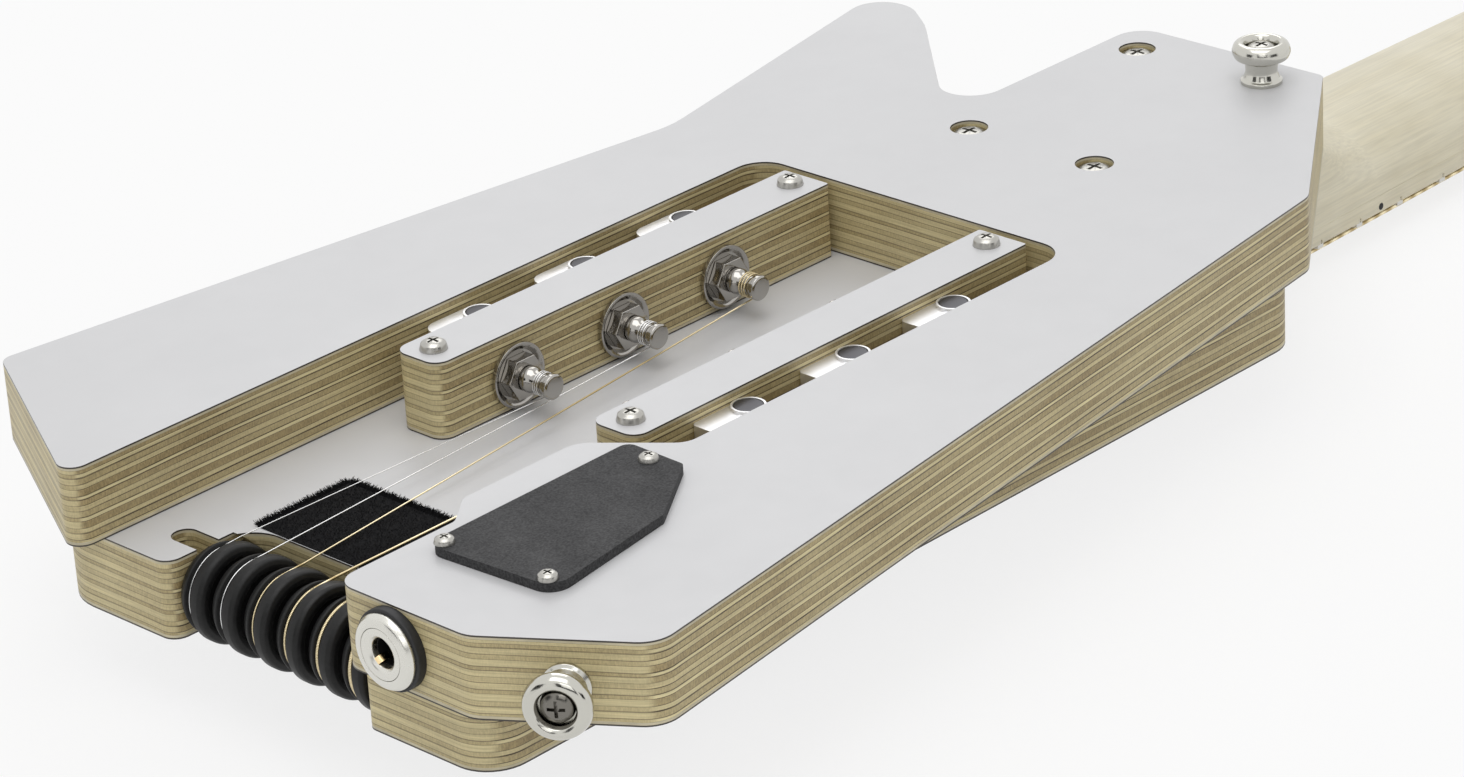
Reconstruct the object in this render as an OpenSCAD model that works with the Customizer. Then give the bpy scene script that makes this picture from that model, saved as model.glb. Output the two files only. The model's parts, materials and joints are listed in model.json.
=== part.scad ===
// Travel guitar with no headstock, built from two stacked plywood slabs and tuned inside the body.
// It lies face down: the slabs' back faces point to +Z and the neck points to +X.

/* [Body slabs] */
// Thickness of the plywood core of each slab
core_t = 18; // [16:0.5:24]
// Thickness of the white laminate on each face of a slab
laminate_t = 1; // [0.6:0.1:1.6]
// Height of the slabs' back face above the surface that the guitar lies on
rest_depth = 58.5; // [57:0.5:64]

/* [Rear slab outline] */
// Treble tail corner, towards the tail
treble_corner_x = 278.2; // [270:0.2:286]
// Treble tail corner, from the centre line
treble_corner_w = 111.8; // [106:0.2:118]
// Waist on the treble side, towards the tail
waist_x = 77.9; // [70:0.5:86]
// Waist on the treble side, from the centre line
waist_w = 84.8; // [80:0.2:90]
// Horn tip, towards the head
horn_x = 22; // [16:0.5:28]
// Horn tip, from the centre line
horn_w = 105.6; // [100:0.2:112]
// Bottom of the gap between horn and neck block, towards the tail
horn_gap_x = 31.1; // [26:0.5:36]
// Half the width of the block over the neck heel
neck_block_w = 31.4; // [30.6:0.2:34]
// Head end of the block over the neck heel
neck_block_x = 47; // [44:0.5:52]
// Bass shoulder, towards the tail
shoulder_x = 20; // [16:0.5:26]
// Bass shoulder, from the centre line
shoulder_w = 77; // [72:0.2:82]
// Bass tail corner, towards the tail
bass_corner_x = 286; // [280:0.5:292]
// Bass tail corner, from the centre line
bass_corner_w = 112.5; // [106:0.5:118]
// Corner between the chamfer and the jack's face, towards the tail
chamfer_x = 308; // [305:0.5:311]
// Corner between the chamfer and the jack's face, from the centre line
chamfer_w = 78; // [75:0.5:84]
// Tail end of the bass wing
wing_tail_x = 308; // [305:0.5:313]
// Tail end of the treble side's inner corner
cavity_tail_x = 310; // [306:0.5:313]

/* [Front slab outline] */
// Tail edge of the front slab
front_tail_x = 300; // [299:0.5:304]
// Half width of the front slab
front_w = 73.4; // [72:0.2:80]
// Shoulder of the front slab, towards the tail
front_shoulder_x = 22; // [18:0.5:28]
// Head end of the front slab's fork beside the neck
fork_x = 16; // [10:0.5:22]

/* [Rollers] */
// Distance of the roller axle from the neck bolts' centre
axle_x = 287.8; // [286:0.1:289]
// Radius of the roller axle
axle_r = 3; // [2.5:0.1:3.4]
// Outer radius of a roller
roller_r = 11.9; // [11.6:0.1:12.2]
// Radius at which the middle of a string runs round its roller
wrap_r = 10.5; // [10.3:0.1:10.6]
// Distance between neighbouring strings at the saddles
string_pitch = 10.4; // [10.2:0.1:10.6]
// Distance between neighbouring rollers
roller_pitch = 10.7; // [10.5:0.1:10.8]
// How far the rollers' strings stand towards the bass side
roller_shift = 1.7; // [1:0.1:2]
// Roller width on the treble side of its string
flange_side = 4; // [3.4:0.1:4.2]
// Roller width on the bass side of its string
tread_side = 5.2; // [4.8:0.1:5.4]
// Width of the string groove in a roller
groove_w = 1.8; // [1.8:0.1:2.2]
// How far the axle slots run past the roller notch
slot_len = 11; // [9:0.5:13]
// Clearance between the rollers and the notch on each side
notch_gap = 0.4; // [0.3:0.1:1]
// Length of the pile pad, along the strings
pad_l = 28.5; // [26:0.5:30]
// Width of the pile pad, across the strings
pad_w = 55; // [52:0.5:57]

/* [Tuner rails] */
// Width of a tuner rail
rail_w = 15; // [14:0.5:17]
// Distance of a rail's inner face from the centre line
rail_in = 24.9; // [24:0.1:26]
// Tail end of the rails
rail_tail_x = 218.6; // [214:0.5:222]
// Head end of the rails
rail_head_x = 83.2; // [80:0.2:86]
// Width of the slot between a rail and the bay wall
slot_w = 11.1; // [11:0.1:13]
// Distance of the rail screws from the rail's ends
rail_screw_in = 6.1; // [5:0.1:8]
// Gap between the rails' head ends and the bay wall
rail_end_gap = 2.6; // [1:0.1:4]

/* [Tuners] */
// Distance of the tail-most tuner from the neck bolts' centre
tuner_x = 194.1; // [190:0.1:197]
// Distance between neighbouring tuners of one rail
tuner_pitch = 35.6; // [33:0.1:37]
// Depth of the tuner posts below the back face
tuner_depth = 11.2; // [11:0.1:11.6]
// Radius of a tuner post in its bush
post_r = 3; // [2.8:0.1:3.1]
// Radius of the post's waist
waist_r = 2.5; // [2.3:0.1:2.6]
// How far a post stands out of its rail
post_reach = 13.3; // [13:0.1:13.5]
// Length of a tuner's gear case, from the post towards the tail
case_reach = 6.9; // [6.8:0.1:8]
// Height of a gear case above its post
case_top = 7.7; // [7.5:0.1:8]
// Depth of a gear case below its post
case_low = 7.5; // [7:0.1:8]
// Distance between the post and the key's worm
key_offset = 7.7; // [7.6:0.1:8]
// Radius of the round key top
key_r = 3.55; // [3.2:0.05:3.7]
// Teeth on a tuner's wheel, which is also its gear ratio
wheel_teeth = 14; // [12:1:16]

/* [Neck] */
// Scale length
scale_len = 628.65; // [620:0.05:640]
// Distance from the roller axle to the saddle line
saddle_reach = 42.6; // [41:0.2:45]
// Number of frets
fret_count = 22; // [21:1:22]
// Half width of the fretboard at the nut
nut_half = 21.4; // [21:0.1:22]
// Half width of the fretboard at its body end
board_half = 29; // [28:0.1:29.4]
// How far the fretboard's edge stands out of the front slab
board_proud = 10.5; // [9:0.1:11]
// Thickness of the fretboard at its edge
board_t = 5; // [4:0.1:6]
// Radius of the fretboard's surface
board_radius = 406; // [300:1:500]
// Height of the frets
fret_h = 1.2; // [0.9:0.1:1.4]
// Width of the frets
fret_w = 2.4; // [1.8:0.1:2.8]
// Depth of the neck below the fretboard at the body end
neck_deep = 17.3; // [16:0.1:18.5]
// Depth of the neck below the fretboard at the nut
neck_shallow = 15; // [14:0.1:16.5]
// Bolt spacing along the neck
bolt_dx = 68.3; // [64:0.1:72]
// Bolt spacing across the neck
bolt_dy = 41.5; // [38:0.1:43]
// String spacing at the nut
nut_pitch = 7.1; // [6.8:0.05:7.3]

/* [Controls] */
// Length of the control cavity
cavity_l = 39; // [38:0.5:42]
// Width of the control cavity
cavity_w = 21; // [20:0.5:22]
// Wood left under the control cavity
cavity_floor = 4; // [3:0.5:6]
// Radius of a potentiometer's can
pot_r = 6; // [5.5:0.25:6.25]
// Thickness of the control cover
cover_t = 2.3; // [1.5:0.1:3]
// Radius of the knobs
knob_r = 7.5; // [6:0.5:8.5]
// Radius of the output jack's barrel
jack_r = 6; // [5.5:0.1:6.4]
// Radius of the output jack's plug bore
plug_r = 3.2; // [3.19:0.01:3.25]
// Distance of the output jack from the centre line
jack_y = 55.7; // [52:0.1:60]

/* [Hidden] */
$fn = 48;

// Clearances
turn_gap = 0.05;
slip_gap = 0.1;
free_gap = 0.3;

// Levels, measured down from the rear slab's back face
slab_t = core_t + 2 * laminate_t;
joint_z = -slab_t;
front_z = -2 * slab_t;
wing_mid_z = -slab_t / 2;
axle_z = joint_z - slab_t / 2;

// Rollers and their notch
outer_string = 2.5 * string_pitch;
notch_treble = 2.5 * roller_pitch - roller_shift + flange_side + notch_gap;
notch_bass = 2.5 * roller_pitch + roller_shift + tread_side + notch_gap;
notch_head_x = axle_x - roller_r - 0.7;
slot_r = axle_r + free_gap;
wing_in = notch_bass + 3.6;
channel_in = rail_in + 5.9;
channel_step_x = notch_head_x - 2.7;
pad_t = 0.7;
pad_bass_y = 2.8 - channel_in;

// Tuner bay
rail_out = rail_in + rail_w;
bay_w = rail_out + slot_w;
bay_head_x = rail_head_x - rail_end_gap;
channel_turn_x = rail_tail_x + 10;
bay_tail_x = rail_tail_x - 5.1;
case_depth = slot_w - 1.5;
case_wall = 1.2;
bush_r = post_r + 1.3;
bush_hole_r = bush_r + 0.2;
hex_r = 5.75;
hex_t = 3.4;
washer_floor = 0.6;
washer_r = 8.15;
worm_r = 2.1;
wheel_r = key_offset - worm_r - 0.2;
wheel_t = 5;
key_y = rail_w + case_depth / 2 - 0.6;
key_top = 8.4;
boss_r = key_r + 0.65;
waist_from = hex_t + washer_floor + 3.4;
waist_to = post_reach - 1.7;

// Neck
saddle_x = axle_x - saddle_reach;
nut_x = scale_len - saddle_x;
function fret_x(n) = nut_x - scale_len * (1 - pow(2, -n / 12));
board_end_x = fret_x(fret_count) - 5.2;
head_x = nut_x + 15.7;
board_back_z = front_z - board_proud + board_t;
board_edge_z = front_z - board_proud;
edge_sag = board_radius - sqrt(pow(board_radius, 2) - pow(26.5, 2));
board_centre_z = board_edge_z - edge_sag;
board_axis_z = board_centre_z + board_radius;
function board_half_at(x) = nut_half + (board_half - nut_half) * (nut_x - x) / (nut_x - board_end_x);
pocket_gap = 0.2;
nut_t = 3.5;
retainer_x = nut_x + 5;
retainer_t = 8;
retainer_hole_z = board_back_z - 6;
retainer_screw_r = 1.5;
rod_from = board_end_x + 12;
rod_to = nut_x - 12;
rod_w = 6;
rod_h = 8.8;
bolt_r = 2.1;
bolt_tip_z = -38;
bolt_head_r = 4.65;
recess_r = bolt_head_r + 0.25;
recess_depth = 3;

// Strings: radius, turns on the post, from the thinnest to the thickest
string_r = [0.127, 0.165, 0.216, 0.33, 0.457, 0.584];
turns = [3, 3, 3, 2, 1.5, 1.5];
turn_clear = 0.42;
string_sides = 6;
rings_per_turn = 24;
groove_run = 6.5;
function string_y(i) = outer_string - (i - 1) * string_pitch;
function roller_y(i) = (3.5 - i) * roller_pitch - roller_shift;
function nut_y(i) = (3.5 - i) * nut_pitch;
function crown_z(y, low) = board_axis_z - sqrt(pow(board_radius + low, 2) - y * y);
function string_nut_z(i) = crown_z(nut_y(i), fret_h + 0.5) - string_r[i - 1];
function string_saddle_z(i) = crown_z(string_y(i), fret_h + 3.2) - string_r[i - 1];

// Bridge
plate_t = 2.5;
plate_z = front_z - plate_t;
plate_tail_x = notch_head_x - 3.2;
plate_head_x = saddle_x - 16.2;
cheek_t = 2.5;
plate_w = outer_string + 15;
lip_t = 2.5;
tilt_screw_r = 1.25;
saddle_screw_z = plate_z - tilt_screw_r - 0.2;
saddle_gap = 0.5;
saddle_screw_head_r = 1.9;

// Controls
cavity_in = 46;
cavity_head_x = 238;
pot_y = cavity_in + pot_r + 0.5;
pot_bush = 1;
pot_bore_z = front_z + cavity_floor + 6.2;
pot_pitch = 20;
jack_x = chamfer_x + (wing_tail_x - chamfer_x) * (chamfer_w - jack_y) / (chamfer_w - wing_in);
jack_turn = 180 + atan2(wing_tail_x - chamfer_x, chamfer_w - wing_in);
jack_len = 36;
jack_washer_t = 2.4;
jack_proud = jack_washer_t + 2.3;
jack_nut_top_r = jack_r + 0.9;
strap_share = 0.49;
strap_x = bass_corner_x + (chamfer_x - bass_corner_x) * strap_share;
strap_y = bass_corner_w + (chamfer_w - bass_corner_w) * strap_share;
strap_turn = 180 + atan2(chamfer_x - bass_corner_x, bass_corner_w - chamfer_w);
strap_screw_r = 2.1;
strap_seat = 8.4;
strap_screw_head = 2.35;
shaft_r = 3;
knob_z = front_z - pot_bush - 0.2;
knob_h = 7.2;
screw_r = 1.7;
screw_head_r = 3.4;
screw_head_t = 2.5;
rail_screw_bite = 12;
bridge_screw_bite = 14;
trim_screw_r = 1.3;
cover_screw_in = 4;
trim_head_r = 2.4;
pickup_from_saddle = 60;
pickup_x = saddle_x - pickup_from_saddle;
pickup_l = 38;
pickup_w = 69;
pickup_z = front_z - board_proud;
pickup_flange = 1.6;
pickup_deep = 13;
pickup_screw_y = pickup_w / 2 + 5.5;

// Middle of the whole guitar along the neck, between the neck's end and the jack's nut
jack_end_x = jack_x + jack_proud * -cos(jack_turn) + jack_nut_top_r * abs(sin(jack_turn));
centre_x = (head_x - jack_end_x) / 2;

// Outline points are [x, y, corner radius]
rear_points = [
    [-treble_corner_x, treble_corner_w, 4],
    [-waist_x, waist_w, 30],
    [horn_x, horn_w, 8.4],
    [horn_x + 2.2, horn_w - 13.6, 12],
    [horn_x - 6.6, horn_w - 26.3, 40],
    [-horn_gap_x, neck_block_w, 8.9],
    [neck_block_x, neck_block_w, 8],
    [neck_block_x, -neck_block_w + 0.4, 3],
    [-shoulder_x, -shoulder_w, 8],
    [-bass_corner_x, -bass_corner_w, 8],
    [-chamfer_x, -chamfer_w, 8],
    [-wing_tail_x, -wing_in, 5.5],
    [-channel_step_x, -wing_in, 3],
    [-channel_step_x + 9, -channel_in, 3],
    [-channel_turn_x, -channel_in, 7],
    [-bay_tail_x, -bay_w, 6],
    [-bay_head_x, -bay_w, 8],
    [-bay_head_x, bay_w, 8],
    [-cavity_tail_x, bay_w - 0.6, 4]];

front_points = [
    [-front_tail_x, front_w, 15],
    [-front_shoulder_x, front_w, 10],
    [fork_x, board_half + 5, 5],
    [fork_x, -board_half - 5, 5],
    [-front_shoulder_x - 2.3, -front_w, 11],
    [-front_tail_x, -front_w, 10],
    [-front_tail_x, -notch_bass, 3],
    [-notch_head_x, -notch_bass, 4],
    [-notch_head_x, notch_treble, 10],
    [-front_tail_x, notch_treble, 4]];

cover_points = [
    [-286.9, -44.1, 4],
    [-284.6, -80.9, 5],
    [-245.9, -75.2, 2],
    [-225.2, -61.3, 1.5],
    [-224.7, -43.6, 2.5]];

function unit(v) = v / norm(v);

// One rounded corner at q, between the edges that come from p and go to s
function corner(p, q, s, r) =
    let(a = unit(p - q), b = unit(s - q), half = acos(a * b) / 2,
        c = q + unit(a + b) * r / sin(half), from = q + a * r / tan(half) - c,
        start = atan2(from[1], from[0]),
        side = (a[0] * b[1] - a[1] * b[0]) > 0 ? -1 : 1,
        sweep = side * (180 - 2 * half), n = max(2, ceil(abs(sweep) / 9)))
    [for (k = [0:n]) c + r * [cos(start + sweep * k / n), sin(start + sweep * k / n)]];

function flat(p) = [p[0], p[1]];

function rounded(list) =
    let(n = len(list))
    [for (i = [0:n - 1])
        each corner(flat(list[(i + n - 1) % n]), flat(list[i]), flat(list[(i + 1) % n]), list[i][2])];

// Middle of the guitar's width, which the rear slab sets
rear_edge_y = [for (p = rounded(rear_points)) p[1]];
centre_y = (max(rear_edge_y) + min(rear_edge_y)) / 2;
echo(str("origin lies at ", centre_x, ", ", centre_y, ", ", -rest_depth));

// Frames in which pieces are drawn
module in_part_frame() translate([-centre_x, -centre_y, rest_depth]) children();

module at_each_bolt() for (sx = [-1, 1]) for (sy = [-1, 1])
    translate([sx * bolt_dx / 2, sy * bolt_dy / 2, 0]) children();

// The head-side bass bolt also holds a strap button
function holds_strap(sx, sy) = sx == 1 && sy == -1;

module at_jack() translate([-jack_x, -jack_y, wing_mid_z]) rotate([0, 0, jack_turn])
    rotate([0, 90, 0]) children();

module at_tail_strap() translate([-strap_x, -strap_y, wing_mid_z - 0.8]) rotate([0, 0, strap_turn])
    rotate([0, 90, 0]) children();

module at_axle() translate([-axle_x, 0, axle_z]) rotate([-90, 0, 0]) children();

function tuner_side(i) = i <= 3 ? 1 : -1;
function tuner_step(i) = i <= 3 ? i - 1 : 6 - i;
function post_x(i) = -tuner_x + tuner_step(i) * tuner_pitch;

// At a tuner +Y points outwards through the rail, and Y = 0 is the rail's inner face
module at_tuner(i) translate([post_x(i), 0, -tuner_depth]) mirror([0, tuner_side(i) > 0 ? 0 : 1, 0])
    translate([0, rail_in, 0]) children();

module along_y(r, from, to) translate([0, from, 0]) rotate([-90, 0, 0]) cylinder(r = r, h = to - from);

// Body slabs
module rear_cuts() {
    at_each_bolt() translate([0, 0, -slab_t - 1]) cylinder(r = bolt_r + turn_gap, h = slab_t + 2);
    for (sx = [-1, 1]) for (sy = [-1, 1]) if (!holds_strap(sx, sy))
        translate([sx * bolt_dx / 2, sy * bolt_dy / 2, -recess_depth]) cylinder(r = recess_r, h = slab_t);
    translate([-cavity_head_x - cavity_l, -cavity_in - cavity_w, -slab_t - 1])
        cube([cavity_l, cavity_w, slab_t + 2]);
    at_each_cover_screw() translate([0, 0, -cover_screw_in - 0.2])
        cylinder(r = trim_screw_r + turn_gap, h = cover_screw_in + 1);
    at_jack() translate([0, 0, -jack_len - 1]) cylinder(r = jack_r + slip_gap, h = jack_len + 9);
    at_tail_strap() translate([0, 0, -20.2]) cylinder(r = strap_screw_r + turn_gap, h = 24);
}

module front_cuts() {
    translate([board_end_x - pocket_gap, 0, front_z - 1]) linear_extrude(slab_t + 2) polygon([
        [0, board_half + pocket_gap],
        [120, board_half_at(board_end_x + 120) + pocket_gap],
        [120, -board_half_at(board_end_x + 120) - pocket_gap],
        [0, -board_half - pocket_gap]]);
    translate([-cavity_head_x - cavity_l, -cavity_in - cavity_w, front_z + cavity_floor])
        cube([cavity_l, cavity_w, slab_t]);
    for (k = [0, 1]) translate([pot_at(k), -pot_y, front_z - 1]) cylinder(r = 3.85, h = slab_t);
    translate([-pickup_x - pickup_l / 2 - free_gap, -pickup_w / 2 - free_gap, front_z - 1])
        cube([pickup_l + 2 * free_gap, pickup_w + 2 * free_gap, pickup_deep + 2]);
    for (side = [-1, 1]) axle_slot(side);
    at_axle() translate([0, 0, -notch_bass]) cylinder(r = roller_r + 0.7, h = notch_bass + notch_treble);
    at_each_rail_screw() translate([0, 0, joint_z - rail_screw_bite - 0.2])
        cylinder(r = screw_r + turn_gap, h = rail_screw_bite + 1);
    at_each_bridge_screw() translate([0, 0, front_z - 1])
        cylinder(r = screw_r + turn_gap, h = bridge_screw_bite + 1.2);
    for (side = [-1, 1]) translate([-pickup_x, side * pickup_screw_y, front_z - 1])
        cylinder(r = trim_screw_r + turn_gap, h = 11.2);
}

module axle_slot(side) {
    from = side > 0 ? notch_treble : notch_bass;
    bottom = axle_z - axle_r - turn_gap;
    translate([-axle_x - slot_r, side > 0 ? from - 1 : -from - slot_len + slot_r, bottom])
        cube([2 * slot_r, slot_len - slot_r + 1, slab_t]);
    translate([-axle_x, side * (from + slot_len - slot_r), bottom]) cylinder(r = slot_r, h = slab_t);
}

module at_each_cover_screw() for (p = [[-284.1, -46.9], [-228.4, -53.7], [-282.4, -76.7]])
    translate([p[0], p[1], 0]) children();

module at_each_rail_screw() for (x = [rail_tail_x - rail_screw_in, rail_head_x + rail_screw_in])
    for (side = [-1, 1]) translate([-x, side * (rail_in + rail_w / 2), 0]) children();

module at_each_bridge_screw() for (x = [plate_head_x + 5.2, plate_tail_x - 10])
    for (side = [-1, 1]) translate([-x, side * 2 * string_pitch, 0]) children();

function pot_at(k) = -cavity_head_x - cavity_l / 2 + (k - 0.5) * pot_pitch;

module rear_layer(z, t) difference() {
    translate([0, 0, z]) linear_extrude(t) polygon(rounded(rear_points));
    rear_cuts();
}

module front_layer(z, t) difference() {
    translate([0, 0, z]) linear_extrude(t) polygon(rounded(front_points));
    front_cuts();
}

module rear_core() color("burlywood") in_part_frame() rear_layer(joint_z + laminate_t, core_t);

module rear_laminates() color("gainsboro") in_part_frame() {
    rear_layer(-laminate_t, laminate_t);
    rear_layer(joint_z, laminate_t);
}

module front_core() color("burlywood") in_part_frame() front_layer(front_z + laminate_t, core_t);

module front_laminates() color("gainsboro") in_part_frame() {
    front_layer(joint_z - laminate_t, laminate_t);
    front_layer(front_z, laminate_t);
}

// Tuner rails
module rail_layer(side, z, t) difference() {
    translate([0, 0, z]) linear_extrude(t) mirror([0, side > 0 ? 0 : 1]) polygon(rounded([
        [-rail_tail_x, rail_in, 4],
        [-rail_head_x, rail_in, 0.6],
        [-rail_head_x, rail_out, 0.6],
        [-rail_tail_x, rail_out, 4]]));
    at_each_rail_screw() translate([0, 0, joint_z - 1]) cylinder(r = screw_r + turn_gap, h = slab_t + 2);
    for (i = [1:6]) at_tuner(i) along_y(bush_hole_r, -1, rail_w + 1);
}

module treble_tuner_rail() color("burlywood") in_part_frame() rail_layer(1, joint_z + laminate_t, core_t);

module bass_tuner_rail() color("burlywood") in_part_frame() rail_layer(-1, joint_z + laminate_t, core_t);

module rail_laminates() color("gainsboro") in_part_frame() for (side = [-1, 1]) {
    rail_layer(side, -laminate_t, laminate_t);
    rail_layer(side, joint_z, laminate_t);
}

// A pan-head screw with its seat at Z = 0, pointing down, with a cross recess
module pan_screw(head_r, head_t, r, length) difference() {
    rotate_extrude() polygon([
        [0, head_t], [head_r * 0.6, head_t * 0.92], [head_r * 0.9, head_t * 0.62], [head_r, 0.2],
        [head_r, 0], [r, 0], [r, -length + r], [0.3, -length], [0, -length]]);
    for (turn = [0, 90]) rotate([0, 0, turn]) translate([-head_r * 0.5, -head_r * 0.1, head_t * 0.4])
        cube([head_r, head_r * 0.2, head_t]);
}

module body_screws() color("silver") in_part_frame() {
    at_each_rail_screw() pan_screw(screw_head_r, screw_head_t, screw_r, slab_t + rail_screw_bite);
    at_each_bridge_screw() translate([0, 0, plate_z]) mirror([0, 0, 1])
        pan_screw(screw_head_r, screw_head_t, screw_r, plate_t + bridge_screw_bite);
}

// Neck
module neck_section_loft() {
    steps = 24;
    // Each row is [x, depth below the fretboard, squareness]
    rows = [[neck_block_x - 1, slab_t + board_proud - board_t - 0.01, 12],
            [neck_block_x + 4, slab_t + board_proud - board_t - 0.01, 9],
            [neck_block_x + 18, neck_deep + 3.2, 3.2],
            [neck_block_x + 32, neck_deep, 2.2],
            [nut_x - 20, neck_shallow, 2.2],
            [nut_x - 6, neck_shallow, 3],
            [nut_x + 2, neck_shallow, 12],
            [head_x, neck_shallow, 12]];
    points = [for (row = rows) for (k = [0:steps])
        let(a = 180 * k / steps, w = board_half_at(min(row[0], nut_x)), e = 2 / row[2])
        [row[0], w * sign(cos(a)) * pow(abs(cos(a)), e), board_back_z + row[1] * pow(abs(sin(a)), e)]];
    n = steps + 1;
    last = (len(rows) - 1) * n;
    faces = concat(
        [for (j = [0:len(rows) - 2]) for (k = [0:n - 1]) each let(m = (k + 1) % n)
            [[j * n + k, (j + 1) * n + m, j * n + m], [j * n + k, (j + 1) * n + k, (j + 1) * n + m]]],
        [for (k = [1:n - 2]) [0, k, k + 1]],
        [for (k = [1:n - 2]) [last, last + k + 1, last + k]]);
    polyhedron(points, faces);
}

module neck() color("wheat") in_part_frame() difference() {
    union() {
        translate([0, 0, board_back_z]) linear_extrude(-board_back_z + joint_z) polygon([
            [board_end_x, board_half],
            [neck_block_x, board_half_at(neck_block_x)],
            [neck_block_x, -board_half_at(neck_block_x)],
            [board_end_x, -board_half]]);
        neck_section_loft();
    }
    at_each_bolt() translate([0, 0, bolt_tip_z - 0.2]) cylinder(r = bolt_r + turn_gap, h = 40);
    translate([rod_from - slip_gap, -rod_w / 2 - slip_gap, board_back_z - 1])
        cube([rod_to - rod_from + 2 * slip_gap, rod_w + 2 * slip_gap, rod_h + 1 + slip_gap]);
    at_each_retainer_screw() translate([0, 0, board_back_z - 1])
        cylinder(r = retainer_screw_r + turn_gap, h = 10.2);
}

module truss_rod() color("dimgray") in_part_frame() {
    translate([rod_from, -rod_w / 2, board_back_z]) cube([rod_to - rod_from, rod_w, rod_h]);
}

module fretboard() color("moccasin") in_part_frame() difference() {
    intersection() {
        translate([0, 0, board_back_z - 2 * board_t]) linear_extrude(2 * board_t) polygon([
            [board_end_x, board_half], [nut_x, nut_half], [nut_x, -nut_half], [board_end_x, -board_half]]);
        translate([board_end_x - 1, 0, board_axis_z]) rotate([0, 90, 0])
            cylinder(r = board_radius, h = nut_x - board_end_x + 2, $fn = 360);
    }
    for (n = [1:fret_count]) translate([fret_x(n) - 0.3, -board_half - 1, board_edge_z - 3])
        cube([0.6, 2 * board_half + 2, 4.2]);
}

module frets() color("silver") in_part_frame() {
    for (n = [1:fret_count]) translate([fret_x(n), 0, 0]) fret(board_half_at(fret_x(n)) - 0.3);
}

module fret(half) {
    intersection() {
        translate([-fret_w / 2, -half, board_edge_z - 5]) cube([fret_w, 2 * half, 8]);
        difference() {
            translate([-fret_w / 2, 0, board_axis_z]) rotate([0, 90, 0])
                cylinder(r = board_radius + fret_h, h = fret_w, $fn = 360);
            translate([-fret_w, 0, board_axis_z]) rotate([0, 90, 0])
                cylinder(r = board_radius, h = 2 * fret_w, $fn = 360);
        }
    }
    intersection() {
        translate([-0.25, -half, board_edge_z - 5]) cube([0.5, 2 * half, 6]);
        translate([-1, 0, board_axis_z]) rotate([0, 90, 0])
            cylinder(r = board_radius + fret_h / 2, h = 2, $fn = 360);
    }
}

module nut() color("ivory") in_part_frame() difference() {
    translate([nut_x, -nut_half, board_back_z - 9]) cube([nut_t, 2 * nut_half, 9]);
    for (i = [1:6]) {
        half = string_r[i - 1] + slip_gap;
        translate([nut_x - 1, nut_y(i) - half, string_nut_z(i) - 10 + half]) cube([nut_t + 2, 2 * half, 10]);
    }
}

module at_each_retainer_screw() for (side = [-1, 1])
    translate([retainer_x + retainer_t / 2, side * 2 * nut_pitch, 0]) children();

module string_retainer() color("dimgray") in_part_frame() difference() {
    translate([retainer_x, -nut_half, -rest_depth])
        cube([retainer_t, 2 * nut_half, board_back_z + rest_depth]);
    for (i = [1:6]) translate([retainer_x - 1, nut_y(i), retainer_hole_z]) rotate([0, 90, 0])
        cylinder(r = string_r[i - 1] + free_gap, h = retainer_t + 2);
    at_each_retainer_screw() translate([0, 0, -rest_depth - 1]) {
        cylinder(r = retainer_screw_r + turn_gap, h = 30);
        cylinder(r = 2.8, h = 4);
    }
}

module retainer_screws() color("silver") in_part_frame() at_each_retainer_screw()
    translate([0, 0, -rest_depth + 3]) mirror([0, 0, 1])
        pan_screw(2.6, 2.4, retainer_screw_r, board_back_z + rest_depth + 6);

// Neck bolts and strap buttons
module wood_bolt(head_z) translate([0, 0, head_z])
    pan_screw(head_z > 0 ? 3.9 : bolt_head_r, strap_screw_head, bolt_r, head_z - bolt_tip_z);

module neck_bolts() color("silver") in_part_frame() {
    for (sx = [-1, 1]) for (sy = [-1, 1]) translate([sx * bolt_dx / 2, sy * bolt_dy / 2, 0])
        wood_bolt(holds_strap(sx, sy) ? strap_seat : -recess_depth);
}

module strap_button() rotate_extrude() polygon([
    [bolt_r + slip_gap, 0], [5.45, 0], [5.45, 1], [4.6, 1.6], [4.3, 2.6], [4.3, 5.6], [5.2, 6.6],
    [7, 7.4], [7.45, 8.6], [7.3, 10], [6.6, 11], [5.6, 11.4], [4.8, 11.3], [4.4, 10.9],
    [4.2, strap_seat], [bolt_r + slip_gap, strap_seat]]);

module strap_buttons() color("silver") in_part_frame() {
    translate([bolt_dx / 2, -bolt_dy / 2, 0]) strap_button();
    at_tail_strap() strap_button();
}

module tail_strap_screw() color("silver") in_part_frame() at_tail_strap()
    translate([0, 0, strap_seat]) pan_screw(3.9, strap_screw_head, strap_screw_r, strap_seat + 20);

// Controls and output
module control_cover() color("dimgray") in_part_frame() difference() {
    linear_extrude(cover_t) polygon(rounded(cover_points));
    at_each_cover_screw() translate([0, 0, -1]) cylinder(r = trim_screw_r + turn_gap, h = cover_t + 2);
}

module small_screws() color("silver") in_part_frame() {
    at_each_cover_screw() translate([0, 0, cover_t])
        pan_screw(trim_head_r, 1.7, trim_screw_r, cover_t + cover_screw_in);
    for (side = [-1, 1]) translate([-pickup_x, side * pickup_screw_y, front_z - pickup_flange])
        mirror([0, 0, 1]) pan_screw(trim_head_r, 1.7, trim_screw_r, pickup_flange + 9.8);
}

module output_jack() color("silver") in_part_frame() at_jack() rotate_extrude() polygon([
    [0, -jack_len], [jack_r, -jack_len], [jack_r, jack_proud - 0.2], [plug_r + 1.4, jack_proud - 0.2],
    [plug_r, jack_proud - 1.4], [plug_r, -jack_len + 5], [0, -jack_len + 5]]);

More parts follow.
